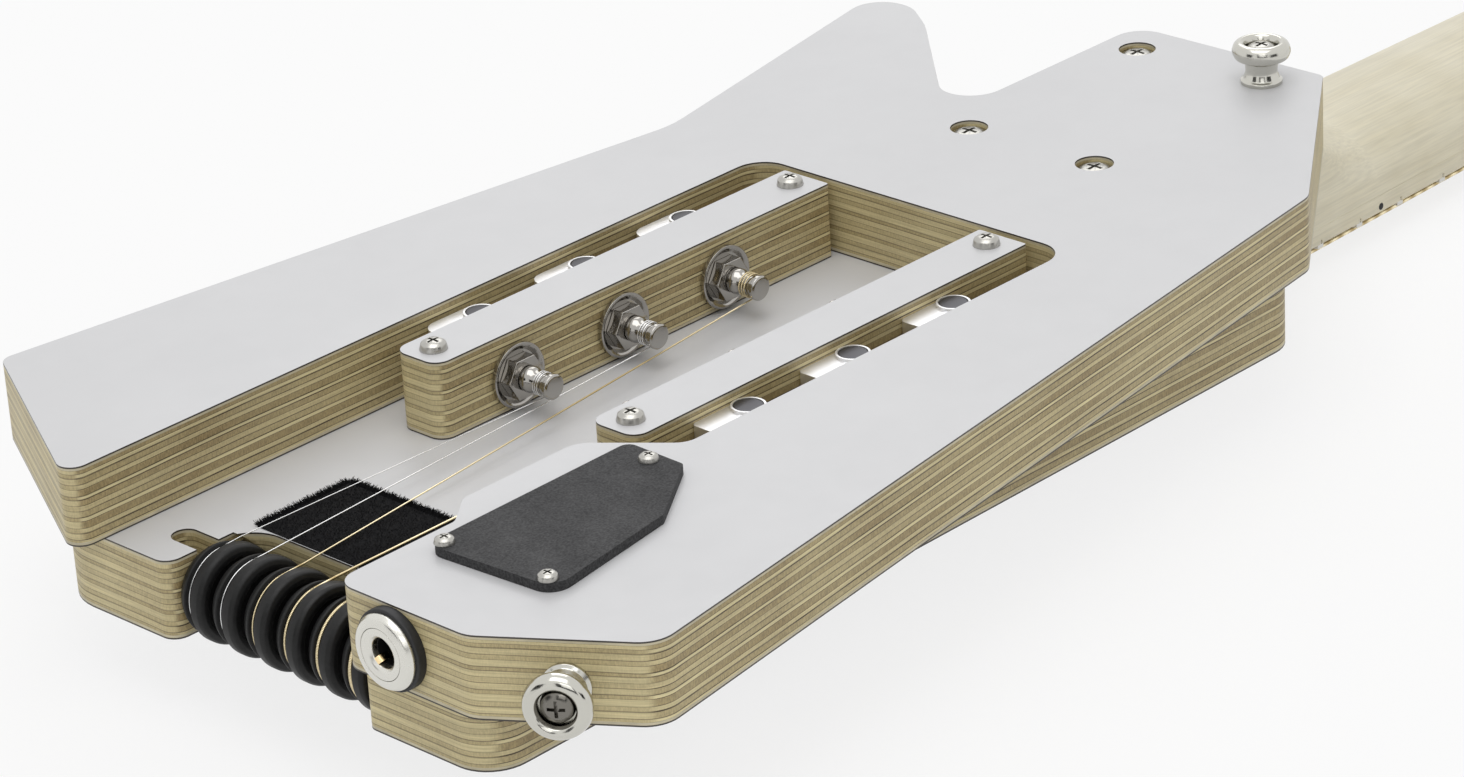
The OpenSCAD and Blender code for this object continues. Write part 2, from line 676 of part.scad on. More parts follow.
module jack_washer() color("black") in_part_frame() at_jack() rotate_extrude() polygon([
    [jack_r + slip_gap, 0], [9.5, 0], [9.5, jack_washer_t - 0.3], [9.2, jack_washer_t],
    [jack_r + slip_gap, jack_washer_t]]);

module jack_nut() color("silver") in_part_frame() at_jack() rotate_extrude() polygon([
    [jack_r + turn_gap, jack_washer_t], [8.75, jack_washer_t], [8.75, jack_proud - 1.6],
    [8.3, jack_proud - 0.8], [7.6, jack_proud - 0.3],
    [jack_nut_top_r, jack_proud], [jack_r + turn_gap, jack_proud]]);

module control_pots() color("gray") in_part_frame() for (k = [0, 1])
    translate([pot_at(k), -pot_y, front_z + cavity_floor]) difference() {
        union() {
            cylinder(r = pot_r, h = 10);
            translate([0, 0, -cavity_floor - pot_bush]) cylinder(r = 3.75, h = cavity_floor + pot_bush + 1);
        }
        translate([0, 0, -cavity_floor - pot_bush - 1])
            cylinder(r = shaft_r + turn_gap, h = pot_bore_z - front_z + pot_bush + 1);
    }

module knob(k) translate([pot_at(k), -pot_y, knob_z]) {
    mirror([0, 0, 1]) rotate_extrude() polygon([
        [0, 0], [knob_r, 0], [knob_r, 1.2], [knob_r - 0.6, 2.2], [knob_r - 1, knob_h - 0.8],
        [knob_r - 1.7, knob_h], [0, knob_h]]);
    cylinder(r = shaft_r, h = pot_bore_z - 1.2 - knob_z);
    translate([knob_r - 3, -0.5, -knob_h - 0.2]) cube([1, 1, 1]);
}

module volume_knob() color("black") in_part_frame() knob(0);

module tone_knob() color("black") in_part_frame() knob(1);

module pickup() color("black") in_part_frame() translate([-pickup_x, 0, 0]) difference() {
    union() {
        translate([-pickup_l / 2, -pickup_w / 2, pickup_z])
            cube([pickup_l, pickup_w, front_z - pickup_z + pickup_deep]);
        translate([-pickup_l / 2 - 2, -pickup_screw_y - 4, front_z - pickup_flange])
            cube([pickup_l + 4, 2 * pickup_screw_y + 8, pickup_flange]);
        for (i = [1:6]) for (x = [-9, 9]) translate([x, string_y(i), pickup_z - 0.5])
            cylinder(r = 2.4, h = 1);
    }
    for (side = [-1, 1]) translate([0, side * pickup_screw_y, front_z - 5])
        cylinder(r = trim_screw_r + turn_gap, h = 10);
}

// Bridge
module bridge_plate() color("dimgray") in_part_frame() difference() {
    union() {
        translate([-plate_tail_x, -plate_w, plate_z])
            cube([plate_tail_x - plate_head_x, 2 * plate_w, plate_t]);
        for (side = [-1, 1]) translate([0, side * (plate_w - cheek_t / 2) + cheek_t / 2, 0])
            rotate([90, 0, 0]) linear_extrude(cheek_t) polygon([
                [-plate_tail_x + 8, front_z], [-plate_tail_x + 14, -rest_depth],
                [-plate_head_x - 7, -rest_depth], [-plate_head_x - 2, front_z]]);
        translate([-plate_tail_x, -outer_string - 6, saddle_screw_z - saddle_screw_head_r])
            cube([lip_t, 2 * outer_string + 12, front_z - saddle_screw_z + saddle_screw_head_r]);
    }
    at_each_bridge_screw() translate([0, 0, front_z - 4]) cylinder(r = screw_r + turn_gap, h = 5);
    for (i = [1:6]) at_saddle_screw(i) translate([0, 0, -1])
        cylinder(r = tilt_screw_r + turn_gap, h = lip_t + 2);
}

module at_saddle_screw(i) translate([-plate_tail_x, string_y(i), saddle_screw_z]) rotate([0, 90, 0])
    children();

module intonation_screws() color("silver") in_part_frame() for (i = [1:6]) at_saddle_screw(i) {
    translate([0, 0, -1.6]) cylinder(r = saddle_screw_head_r, h = 1.6);
    cylinder(r = tilt_screw_r, h = plate_tail_x - saddle_x + 7.4);
}

module saddle(i) color("silver") in_part_frame() {
    top = string_saddle_z(i) + string_r[i - 1] + free_gap;
    base = plate_z - slip_gap;
    width = string_pitch - saddle_gap;
    difference() {
        translate([-saddle_x, string_y(i) + width / 2, 0]) rotate([90, 0, 0]) linear_extrude(width) polygon([
            [3.8, base], [3.8, top + 4], [1, top], [-1, top], [-5.8, top + 2.6], [-5.8, base]]);
        at_saddle_screw(i) translate([0, 0, 1]) cylinder(r = tilt_screw_r + turn_gap, h = 60);
    }
}

// Rollers
module roller_axle() color("silver") in_part_frame() at_axle()
    translate([0, 0, -notch_bass - slot_len + slot_r + slip_gap])
        cylinder(r = axle_r, h = notch_treble + notch_bass + 2 * (slot_len - slot_r - slip_gap));

module roller(i) color("black") in_part_frame() at_axle() translate([0, 0, roller_y(i)])
    rotate_extrude() polygon([
        [axle_r + turn_gap, -tread_side], [5.2, -tread_side], [5.2, -tread_side + 1.2],
        [roller_r - 2.6, -tread_side + 1.2], [roller_r - 2.6, -tread_side],
        [roller_r - 1.2, -tread_side], [roller_r - 0.5, -tread_side + 0.25],
        [roller_r - 0.1, -tread_side + 0.8], [roller_r, -tread_side + 1.4],
        [roller_r, -groove_w / 2], [groove_floor(i), -groove_w / 2], [groove_floor(i), groove_w / 2],
        [roller_r, groove_w / 2], [roller_r, flange_side - 0.5], [roller_r - 0.4, flange_side],
        [axle_r + turn_gap, flange_side]]);

function groove_floor(i) = wrap_r - string_r[i - 1] - free_gap;

module felt_pad() color("black") in_part_frame()
    translate([-notch_head_x + 0.2, pad_bass_y, joint_z]) cube([pad_l, pad_w, pad_t]);

// Tuners
module tuner_housings() color("silver") in_part_frame() for (i = [1:6]) at_tuner(i) difference() {
    union() {
        translate([0, 0, -case_low]) linear_extrude(case_low + case_top) polygon(rounded([
            [-case_reach, rail_w, 1.5],
            [key_offset + boss_r, rail_w, 1.5],
            [key_offset + boss_r, rail_w + case_depth, 4.2],
            [-case_reach, rail_w + case_depth, 4.2]]));
        translate([key_offset, key_y, 0]) cylinder(r = boss_r, h = key_top);
    }
    along_y(post_r + turn_gap, rail_w - 1, rail_w + case_wall + 1);
    along_y(wheel_r + 0.6, rail_w + case_wall, rail_w + case_depth - case_wall);
    translate([key_offset, key_y, -4.5]) cylinder(r = worm_r + 0.4, h = 9);
    translate([key_offset, key_y, -6.6]) cylinder(r = 1.2 + turn_gap, h = 4);
    translate([key_offset, key_y, 0]) cylinder(r = 1.9 + turn_gap, h = 12);
    translate([key_offset, key_y, key_top - 1.6]) cylinder(r = key_r + slip_gap, h = 3);
}

module tuner_washers() color("silver") in_part_frame() for (i = [1:6]) at_tuner(i)
    rotate([90, 0, 0]) rotate_extrude() polygon([
        [bush_r + slip_gap, 0], [washer_r - 0.6, 0], [washer_r, 0.5], [washer_r, 1.6],
        [washer_r - 0.6, 1.6], [hex_r + 0.5, washer_floor], [bush_r + slip_gap, washer_floor]]);

module tuner_nuts() color("silver") in_part_frame() for (i = [1:6]) at_tuner(i) rotate([90, 0, 0])
    difference() {
        union() {
            translate([0, 0, washer_floor]) cylinder(r = hex_r, h = hex_t, $fn = 6);
            translate([0, 0, -rail_w + 1.5]) cylinder(r = bush_r, h = rail_w);
        }
        translate([0, 0, -rail_w - 1]) cylinder(r = post_r + turn_gap, h = rail_w + 9);
    }

module tuner_post(i) color("silver") in_part_frame() at_tuner(i) rotate([90, 0, 0]) union() {
    rotate_extrude() polygon([
        [0, -rail_w - case_depth + case_wall + 0.6], [post_r, -rail_w - case_depth + case_wall + 0.6],
        [post_r, hex_t + washer_floor + 0.3], [post_r + 0.25, hex_t + washer_floor + 0.6],
        [post_r + 0.25, waist_from - 1.4], [waist_r, waist_from], [waist_r, waist_to],
        [post_r + 0.2, waist_to + 0.3], [post_r + 0.2, post_reach - 0.4], [post_r - 0.3, post_reach],
        [0, post_reach]]);
    translate([0, 0, -key_y - wheel_t / 2]) linear_extrude(wheel_t) polygon([
        for (k = [0:wheel_teeth - 1]) for (p = [[0, 0], [0.3, 0], [0.45, 0.9], [0.85, 0.9]])
            (wheel_r - p[1]) * [cos(360 * (k + p[0]) / wheel_teeth), sin(360 * (k + p[0]) / wheel_teeth)]]);
}

module tuner_key(i) color("gray") in_part_frame() at_tuner(i) translate([key_offset, key_y, 0]) {
    rotate_extrude() polygon(concat(
        [[0, -6.4], [1.2, -6.4], [1.2, -4.3]],
        [for (k = [0:6]) for (p = [[-0.5, 0], [0, 0.3], [0, 0.6], [-0.5, 0.9]])
            [worm_r + p[0], -4.3 + 1.2 * k + p[1]]],
        [[1.9, 4.3], [1.9, key_top - 1.5], [key_r, key_top - 1.5], [key_r, key_top - 0.2],
         [key_r - 0.2, key_top], [0, key_top]]));
}

// Strings
// Angle of the string between roller and post, and the two points where it touches them
function post_wrap_r(i) = waist_r + free_gap + string_r[i - 1];

function run_angle(i) =
    let(d = [post_x(i) + axle_x, -tuner_depth - axle_z])
    atan2(d[1], d[0]) - asin((wrap_r + post_wrap_r(i)) / norm(d));

function bend_point(i) =
    let(slope = (string_saddle_z(i) - string_nut_z(i)) / (nut_x + saddle_x))
    [-saddle_x - 4, string_saddle_z(i) + 4 * slope];

function roller_angle(i) =
    let(d = bend_point(i) - [-axle_x, axle_z])
    atan2(d[1], d[0]) - acos(wrap_r / norm(d));

function coil_pitch(i) = 2 * string_r[i - 1] + turn_clear;

// Distance of the winding's first turn from the centre line
function coil_start(i) = rail_in - (waist_from + waist_to) / 2 - turns[i - 1] * coil_pitch(i) / 2;

// Path as [x, y, z, radius], from the ball end at the head to the last turn on the post
function string_path(i) =
    let(r = string_r[i - 1], y = string_y(i), w = roller_y(i), s = tuner_side(i), run = run_angle(i),
        low = roller_angle(i), high = run + 90 - 360, bend = bend_point(i),
        count = turns[i - 1] * rings_per_turn, wind = post_wrap_r(i), h = coil_start(i),
        ball_x = retainer_x + retainer_t + slip_gap)
    concat(
        [[ball_x + 2.2, nut_y(i), retainer_hole_z, 1.4], [ball_x + 1.9, nut_y(i), retainer_hole_z, 1.9],
         [ball_x + 0.3, nut_y(i), retainer_hole_z, 1.9], [ball_x, nut_y(i), retainer_hole_z, 1.4],
         [ball_x - 0.05, nut_y(i), retainer_hole_z, r], [retainer_x, nut_y(i), retainer_hole_z, r],
         [nut_x + nut_t, nut_y(i), string_nut_z(i), r], [nut_x, nut_y(i), string_nut_z(i), r],
         [-saddle_x, y, string_saddle_z(i), r], [bend[0], y, bend[1], r]],
        [[-axle_x + wrap_r * cos(low) - groove_run * sin(low), w,
            axle_z + wrap_r * sin(low) + groove_run * cos(low), r]],
        [for (k = [0:12]) let(a = low + (high - low) * k / 12)
            [-axle_x + wrap_r * cos(a), w, axle_z + wrap_r * sin(a), r]],
        [[-axle_x + wrap_r * cos(high) + groove_run * cos(run), w,
            axle_z + wrap_r * sin(high) + groove_run * sin(run), r]],
        [for (k = [0:count]) let(a = run - 90 + 360 * k / rings_per_turn)
            [post_x(i) + wind * cos(a), s * (h + coil_pitch(i) * k / rings_per_turn),
             -tuner_depth + wind * sin(a), r]],
        [let(a = run - 90 + 360 * turns[i - 1])
            [post_x(i) + wind * cos(a) - 2 * r * sin(a), s * (h + coil_pitch(i) * turns[i - 1]),
             -tuner_depth + wind * sin(a) + 2 * r * cos(a), r]]);

function place(p) = [p[0], p[1], p[2]];

// A tube along a path, with a ring of points at each path point
module string_tube(path) {
    m = string_sides;
    n = len(path);
    points = [for (j = [0:n - 1])
        let(p = place(path[j]), before = place(path[max(j - 1, 0)]), after = place(path[min(j + 1, n - 1)]),
            t = unit(unit(after - p + (j == n - 1 ? p - before : [0, 0, 0]))
                + unit(p - before + (j == 0 ? after - p : [0, 0, 0]))),
            u = unit(cross(t, [0, 1, 0])), v = cross(u, t))
        for (k = [0:m - 1]) p + path[j][3] * (cos(360 * k / m) * u + sin(360 * k / m) * v)];
    faces = concat(
        [for (j = [0:n - 2]) for (k = [0:m - 1]) each let(q = (k + 1) % m)
            [[j * m + k, j * m + q, (j + 1) * m + q], [j * m + k, (j + 1) * m + q, (j + 1) * m + k]]],
        [for (k = [1:m - 2]) [0, k + 1, k]],
        [for (k = [1:m - 2]) [(n - 1) * m, (n - 1) * m + k, (n - 1) * m + k + 1]]);
    polyhedron(points, faces);
}

// Least gap between one turn of a winding and the next, measured from ring centre to ring centre
function least_gap(i) =
    let(path = string_path(i), first = len(path) - 2 - turns[i - 1] * rings_per_turn, last = len(path) - 2)
    min([for (a = [first:last]) for (b = [a + rings_per_turn / 2:last])
        norm(place(path[a]) - place(path[b])) - 2 * string_r[i - 1]]);

for (i = [1:6]) echo(str("string ", i, " least gap between turns ", least_gap(i)));

module plain_strings() color("silver") in_part_frame() for (i = [1, 2]) string_tube(string_path(i));

module wound_strings() color("goldenrod") in_part_frame() for (i = [3:6]) string_tube(string_path(i));

front_core();
front_laminates();
rear_core();
rear_laminates();
treble_tuner_rail();
bass_tuner_rail();
rail_laminates();
body_screws();
neck();
fretboard();
frets();
nut();
truss_rod();
string_retainer();
retainer_screws();
neck_bolts();
strap_buttons();
tail_strap_screw();
control_cover();
small_screws();
output_jack();
jack_nut();
jack_washer();
bridge_plate();
intonation_screws();
pickup();
control_pots();
roller_axle();
felt_pad();
plain_strings();
wound_strings();
tuner_housings();
tuner_washers();
tuner_nuts();
volume_knob();
tone_knob();
for (i = [1:6]) roller(i);
for (i = [1:6]) tuner_post(i);
for (i = [1:6]) tuner_key(i);
for (i = [1:6]) saddle(i);
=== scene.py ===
import bpy
import bmesh
import json
import math
import random
from mathutils import Matrix, Vector


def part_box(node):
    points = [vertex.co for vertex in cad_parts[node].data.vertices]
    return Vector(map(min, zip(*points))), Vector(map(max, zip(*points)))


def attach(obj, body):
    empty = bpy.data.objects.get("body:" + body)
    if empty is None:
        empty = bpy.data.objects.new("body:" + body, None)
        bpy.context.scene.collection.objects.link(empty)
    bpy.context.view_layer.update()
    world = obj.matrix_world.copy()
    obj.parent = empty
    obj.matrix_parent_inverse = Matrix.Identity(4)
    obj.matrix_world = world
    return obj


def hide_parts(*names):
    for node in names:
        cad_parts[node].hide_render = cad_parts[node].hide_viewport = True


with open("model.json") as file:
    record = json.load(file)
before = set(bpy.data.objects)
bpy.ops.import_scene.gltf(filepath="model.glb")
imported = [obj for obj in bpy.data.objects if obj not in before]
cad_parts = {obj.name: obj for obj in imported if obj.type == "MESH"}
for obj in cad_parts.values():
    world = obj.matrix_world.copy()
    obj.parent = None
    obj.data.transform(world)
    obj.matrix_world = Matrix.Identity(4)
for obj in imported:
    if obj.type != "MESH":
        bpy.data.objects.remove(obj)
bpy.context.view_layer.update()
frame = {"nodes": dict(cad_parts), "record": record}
nodes = frame["nodes"]
slotOf = {part["node"]: part["material_slot"] for part in frame["record"]["subparts"]}
bodyOf = {n: body for body, names in frame["record"]["behaviour"]["bodies"].items() for n in names}
mm = 0.001
boltCentre = Vector((-43.225, 0.217943, 58.5)) * mm  # the neck bolts' centre on the back face
dice = random.Random(4)
print("frame loaded,", len(nodes), "nodes")

# Sizes in mm that more than one piece uses, from the neck bolts' centre
layout = {
    "scale": 628.65, "nut": 383.45, "boardAxis": 354.634, "boardRadius": 406,
    "axle": (-287.8, -30.0), "rollerPitch": 10.7, "rollerShift": 1.7, "wrap": 10.5,
    "stringRadius": [0.127, 0.165, 0.216, 0.33, 0.457, 0.584]}


def fromBolts(x, y, z):
    return Vector((x, y, z)) * mm + boltCentre


def fromMiddle(i):
    return (len(layout["stringRadius"]) + 1) / 2 - i


def rollerSide(i):
    return layout["rollerPitch"] * fromMiddle(i) - layout["rollerShift"]


# Camera at the photo's place, in metres from the neck bolts
photoCamera = {
    "place": (-0.8938, -0.7419, 0.461), "azimuth": -45.19, "elevation": 24.82, "roll": -3.48,
    "lens": 118.37, "sensor": 36, "clip": (0.05, 20)}


def makeCamera(c):
    a, e, r = (math.radians(c[k]) for k in ("azimuth", "elevation", "roll"))
    right = Vector((math.cos(a), math.sin(a), 0))
    back = Vector((math.sin(a) * math.cos(e), -math.cos(a) * math.cos(e), math.sin(e)))
    up = back.cross(right)
    axes = (math.cos(r) * right + math.sin(r) * up, math.cos(r) * up - math.sin(r) * right, back)
    data = bpy.data.cameras.new("photoCamera")
    data.lens, data.sensor_width = c["lens"], c["sensor"]
    data.clip_start, data.clip_end = c["clip"]
    camera = bpy.data.objects.new("photoCamera", data)
    bpy.context.scene.collection.objects.link(camera)
    place = Matrix.Translation(boltCentre + Vector(c["place"]))
    camera.matrix_world = place @ Matrix(axes).transposed().to_4x4()
    bpy.context.scene.camera = camera


makeCamera(photoCamera)
print("camera placed")


# Adds a shader node. The keys i0, i1 and so on name its sockets by number
def put(tree, kind, props=None, **values):
    made = tree.nodes.new("ShaderNode" + kind)
    for key, value in (props or {}).items():
        setattr(made, key, value)
    for key, value in values.items():
        socket = made.inputs[int(key[1:])] if key[0] == "i" and key[1:].isdigit() else made.inputs[key]
        if isinstance(value, bpy.types.NodeSocket):
            tree.links.new(value, socket)
        else:
            socket.default_value = value
    return made


def calc(tree, operation, a, b=0.0, c=0.0):
    return put(tree, "Math", {"operation": operation}, i0=a, i1=b, i2=c).outputs[0]


def remap(tree, value, low, high, start=0.0, end=1.0):
    return put(tree, "MapRange", i0=value, i1=low, i2=high, i3=start, i4=end).outputs[0]


def stretch(tree, place, factors):
    return put(tree, "VectorMath", {"operation": "MULTIPLY"}, i0=place, i1=factors).outputs[0]


def brighten(tree, colour, factor):
    return put(tree, "VectorMath", {"operation": "SCALE"}, i0=colour, Scale=factor).outputs[0]


def noise(tree, place, size, detail, **more):
    return put(tree, "TexNoise", Vector=place, Scale=size, Detail=detail, **more).outputs[0]


def axisPart(tree, vector, axis):
    return put(tree, "SeparateXYZ", Vector=vector).outputs["XYZ".index(axis)]


def blendColours(tree, share, a, b):
    return put(tree, "Mix", {"data_type": "RGBA"}, i0=share, i6=a, i7=b).outputs[2]


def blendValues(tree, share, a, b):
    return put(tree, "Mix", {"data_type": "FLOAT"}, i0=share, i2=a, i3=b).outputs[0]


def bump(tree, shader, height, strength, distance):
    made = put(tree, "Bump", Height=height, Strength=strength, Distance=distance)
    tree.links.new(made.outputs[0], shader["Normal"])


def newGroup(name, inputs, outputs):
    tree = bpy.data.node_groups.new(name, "ShaderNodeTree")
    for label, kind, value in inputs:
        socket = tree.interface.new_socket(name=label, in_out="INPUT", socket_type="NodeSocket" + kind)
        if value is not None:
            socket.default_value = value
    for label, kind in outputs:
        tree.interface.new_socket(name=label, in_out="OUTPUT", socket_type="NodeSocket" + kind)
    return tree, tree.nodes.new("NodeGroupInput").outputs, tree.nodes.new("NodeGroupOutput").inputs


def placeGroup(tree, group, **values):
    made = tree.nodes.new("ShaderNodeGroup")
    made.node_tree = group
    for key, value in values.items():
        socket = made.inputs[key]
        if isinstance(value, bpy.types.NodeSocket):
            tree.links.new(value, socket)
        else:
            socket.default_value = value
    return made.outputs


def newMaterial(name, **settings):
    material = bpy.data.materials.new(name)
    material.use_nodes = True
    shader = material.node_tree.nodes["Principled BSDF"]
    for key, value in settings.items():
        shader.inputs[key.replace("_", " ")].default_value = value
    return material, material.node_tree, shader.inputs


def objectPlace(tree):
    return put(tree, "TexCoord").outputs["Object"]


noiseSpan = (0.3, 0.7)  # nearly all values of a noise lie between these

# Cloudy change of tone and gloss, used on metals, plastics and laminate
cloudLook = {"detail": 4.0, "rough": 0.6, "finer": 18.0, "fineDetail": 2.0}


def makeSurfaceCloud(p):
    tree, given, result = newGroup("surfaceCloud",
        [("Vector", "Vector", None), ("Size", "Float", 40.0), ("Low", "Float", 0.0), ("High", "Float", 1.0)],
        [("Value", "Float"), ("Fine", "Float")])
    soft = noise(tree, given["Vector"], given["Size"], p["detail"], Roughness=p["rough"])
    finer = calc(tree, "MULTIPLY", given["Size"], p["finer"])
    fine = noise(tree, given["Vector"], finer, p["fineDetail"])
    tree.links.new(remap(tree, soft, *noiseSpan, given["Low"], given["High"]), result["Value"])
    tree.links.new(fine, result["Fine"])
    return tree


# Layers of veneer between two laminates, by height. Each ply turns its grain a quarter from the last
plyStack = {
    "pitch": 20 * mm, "base": 19.5 * mm, "core": 18 * mm,
    "plies": [0.7, 1.6, 1.2, 1.75, 0.95, 1.6, 1.35, 1.45, 0.9, 1.7, 1.15, 1.5, 1.0, 0.95],
    "tones": [0.85, 0.28, 0.72, 0.12, 1.0, 0.35, 0.62, 0.2, 0.95, 0.1, 0.7, 0.3, 0.9, 0.2],
    "laminateTone": 0.05, "longGrain": (0.76, 0.66, 0.375, 1), "endGrain": (0.33, 0.245, 0.11, 1),
    "glue": (0.05, 0.031, 0.012, 1), "glueLine": 0.3, "glueLeast": 0.7, "glueSwing": 0.3, "glueTurn": 1.9,
    "glueGaps": (0.32, 0.56, 0.45), "turned": (0.45, 0.75), "turnedTones": (0.88, 0.36), "turnedGlue": 0.6,
    "waveSize": 16.0, "waveStretch": (1, 1, 3), "waveHeight": 1.1 * mm, "patchSize": 34.0, "drift": 0.7,
    "fibreStretch": (60, 60, 2400), "fibreRough": 0.65, "streak": (0.35, 0.68, 0.78, 1.1),
    "poreStretch": (2600, 2600, 900), "poreRough": 0.7, "tick": (0.38, 0.62, 0.7, 1.15), "gloss": (0.42, 0.6)}


def rampColour(ramp, place, value):
    stop = ramp.elements.new(place)
    stop.color = (value, value, value, 1)


def fillPlyRamps(p, tones, lines):
    tones.interpolation = lines.interpolation = "CONSTANT"
    whole = sum(p["plies"])
    top = 0
    lines.elements[1].position = 0.0001
    lines.elements[1].color = (0, 0, 0, 1)
    for k, (thick, tone) in enumerate(zip(p["plies"], p["tones"])):
        if k == 0:
            tones.elements[0].color = (tone, tone, tone, 1)
        else:
            rampColour(tones, top / whole, tone)
            wide = p["glueLine"] * (p["glueLeast"] + p["glueSwing"] * math.sin((k - 1) * p["glueTurn"]))
            rampColour(lines, (top - wide / 2) / whole, 1)
            rampColour(lines, (top + wide / 2) / whole, 0)
        top += thick
    last = p["laminateTone"]
    tones.elements[len(tones.elements) - 1].color = (last, last, last, 1)


def makePlyLayers(p):
    tree, given, result = newGroup("plyLayers",
        [("Vector", "Vector", None), ("Facing", "Vector", None), ("Long Grain", "Color", p["longGrain"]),
         ("End Grain", "Color", p["endGrain"]), ("Glue", "Color", p["glue"])],
        [("Color", "Color"), ("Height", "Float"), ("Gloss", "Float")])
    spot = given["Vector"]
    wave = calc(tree, "SUBTRACT", noise(tree, stretch(tree, spot, p["waveStretch"]), p["waveSize"], 2.0), 0.5)
    height = calc(tree, "ADD", axisPart(tree, spot, "Z"), calc(tree, "MULTIPLY", wave, p["waveHeight"]))
    level = calc(tree, "FLOORED_MODULO", calc(tree, "SUBTRACT", height, p["base"]), p["pitch"])
    share = calc(tree, "DIVIDE", level, p["core"])
    colours = put(tree, "ValToRGB", Fac=share)
    seams = put(tree, "ValToRGB", Fac=share)
    fillPlyRamps(p, colours.color_ramp, seams.color_ramp)
    fibres = noise(tree, stretch(tree, spot, p["fibreStretch"]), 1.0, 3.0, Roughness=p["fibreRough"])
    pores = noise(tree, stretch(tree, spot, p["poreStretch"]), 1.0, 3.0, Roughness=p["poreRough"])
    patches = noise(tree, spot, p["patchSize"], 3.0)
    # Which way the cut faces swaps long grain and end grain
    aside = calc(tree, "ABSOLUTE", axisPart(tree, given["Facing"], "X"))
    facesTail = put(tree, "MapRange", {"interpolation_type": "SMOOTHSTEP"},
                    i0=aside, i1=p["turned"][0], i2=p["turned"][1]).outputs[0]
    tone = put(tree, "SeparateColor", Color=colours.outputs[0]).outputs[0]
    tone = blendValues(tree, facesTail, tone, remap(tree, tone, 0.0, 1.0, *p["turnedTones"]))
    drift = calc(tree, "MULTIPLY", calc(tree, "SUBTRACT", patches, 0.5), p["drift"])
    tone = calc(tree, "MINIMUM", calc(tree, "MAXIMUM", calc(tree, "ADD", tone, drift), 0.0), 1.0)
    layer = blendColours(tree, tone, given["End Grain"], given["Long Grain"])
    texture = blendValues(tree, tone, remap(tree, pores, *p["tick"]), remap(tree, fibres, *p["streak"]))
    glueShare = calc(tree, "MULTIPLY", seams.outputs[0], remap(tree, fibres, *p["glueGaps"], 1.0))
    glueShare = calc(tree, "MULTIPLY", glueShare, remap(tree, facesTail, 0.0, 1.0, 1.0, p["turnedGlue"]))
    done = blendColours(tree, glueShare, brighten(tree, layer, texture), given["Glue"])
    tree.links.new(done, result["Color"])
    tree.links.new(calc(tree, "SUBTRACT", texture, glueShare), result["Height"])
    tree.links.new(remap(tree, fibres, *noiseSpan, *p["gloss"]), result["Gloss"])
    return tree


surfaceCloud = makeSurfaceCloud(cloudLook)
plyLayers = makePlyLayers(plyStack)


def plywood(name):
    material, tree, shader = newMaterial(name, Coat_Weight=0.12, Coat_Roughness=0.35)
    facing = put(tree, "NewGeometry").outputs["Normal"]
    layers = placeGroup(tree, plyLayers, Vector=objectPlace(tree), Facing=facing)
    tree.links.new(layers["Color"], shader["Base Color"])
    tree.links.new(layers["Gloss"], shader["Roughness"])
    bump(tree, shader, layers["Height"], 0.25, 0.08 * mm)
    return material


# White sheet whose cut edge shows its dark core and the pale veneer under it
laminateSheet = {
    "pitch": 20 * mm, "face": 18.5 * mm, "line": 0.42 * mm, "flat": 0.75,
    "white": (0.66, 0.66, 0.67), "core": (0.05, 0.042, 0.035, 1), "veneer": (0.6, 0.54, 0.38),
    "veneerTone": (0.8, 1.1), "cloudSize": 9.0, "cloudTone": (0.97, 1.03), "gloss": (0.34, 0.44)}


def laminate(name, p):
    material, tree, shader = newMaterial(name)
    spot = objectPlace(tree)
    overFace = calc(tree, "SUBTRACT", axisPart(tree, spot, "Z"), p["face"])
    level = calc(tree, "FLOORED_MODULO", overFace, p["pitch"])
    depth = calc(tree, "MINIMUM", level, calc(tree, "SUBTRACT", p["pitch"], level))
    low, high = p["cloudTone"]
    cloud = placeGroup(tree, surfaceCloud, Vector=spot, Size=p["cloudSize"], Low=low, High=high)
    white = brighten(tree, p["white"], cloud["Value"])
    veneer = brighten(tree, p["veneer"], remap(tree, cloud["Fine"], *noiseSpan, *p["veneerTone"]))
    edge = blendColours(tree, calc(tree, "GREATER_THAN", depth, p["line"]), p["core"], veneer)
    upright = axisPart(tree, put(tree, "NewGeometry").outputs["Normal"], "Z")
    isFace = calc(tree, "GREATER_THAN", calc(tree, "ABSOLUTE", upright), p["flat"])
    tree.links.new(blendColours(tree, isFace, edge, white), shader["Base Color"])
    tree.links.new(remap(tree, cloud["Fine"], *noiseSpan, *p["gloss"]), shader["Roughness"])
    bump(tree, shader, cloud["Fine"], 0.05, 0.05 * mm)
    return material


# Neck and fretboard: long figure with a slight ripple across it and fine fibres
mapleGrain = {
    "figure": (9, 160, 160), "figureShare": 0.6, "ripple": (90, 22, 22), "rippleShare": 0.4,
    "fibre": (60, 1500, 1500), "fibreTone": (0.9, 1.04), "gloss": (0.4, 0.52),
    "dark": (0.69, 0.63, 0.46, 1), "light": (0.79, 0.74, 0.58, 1)}


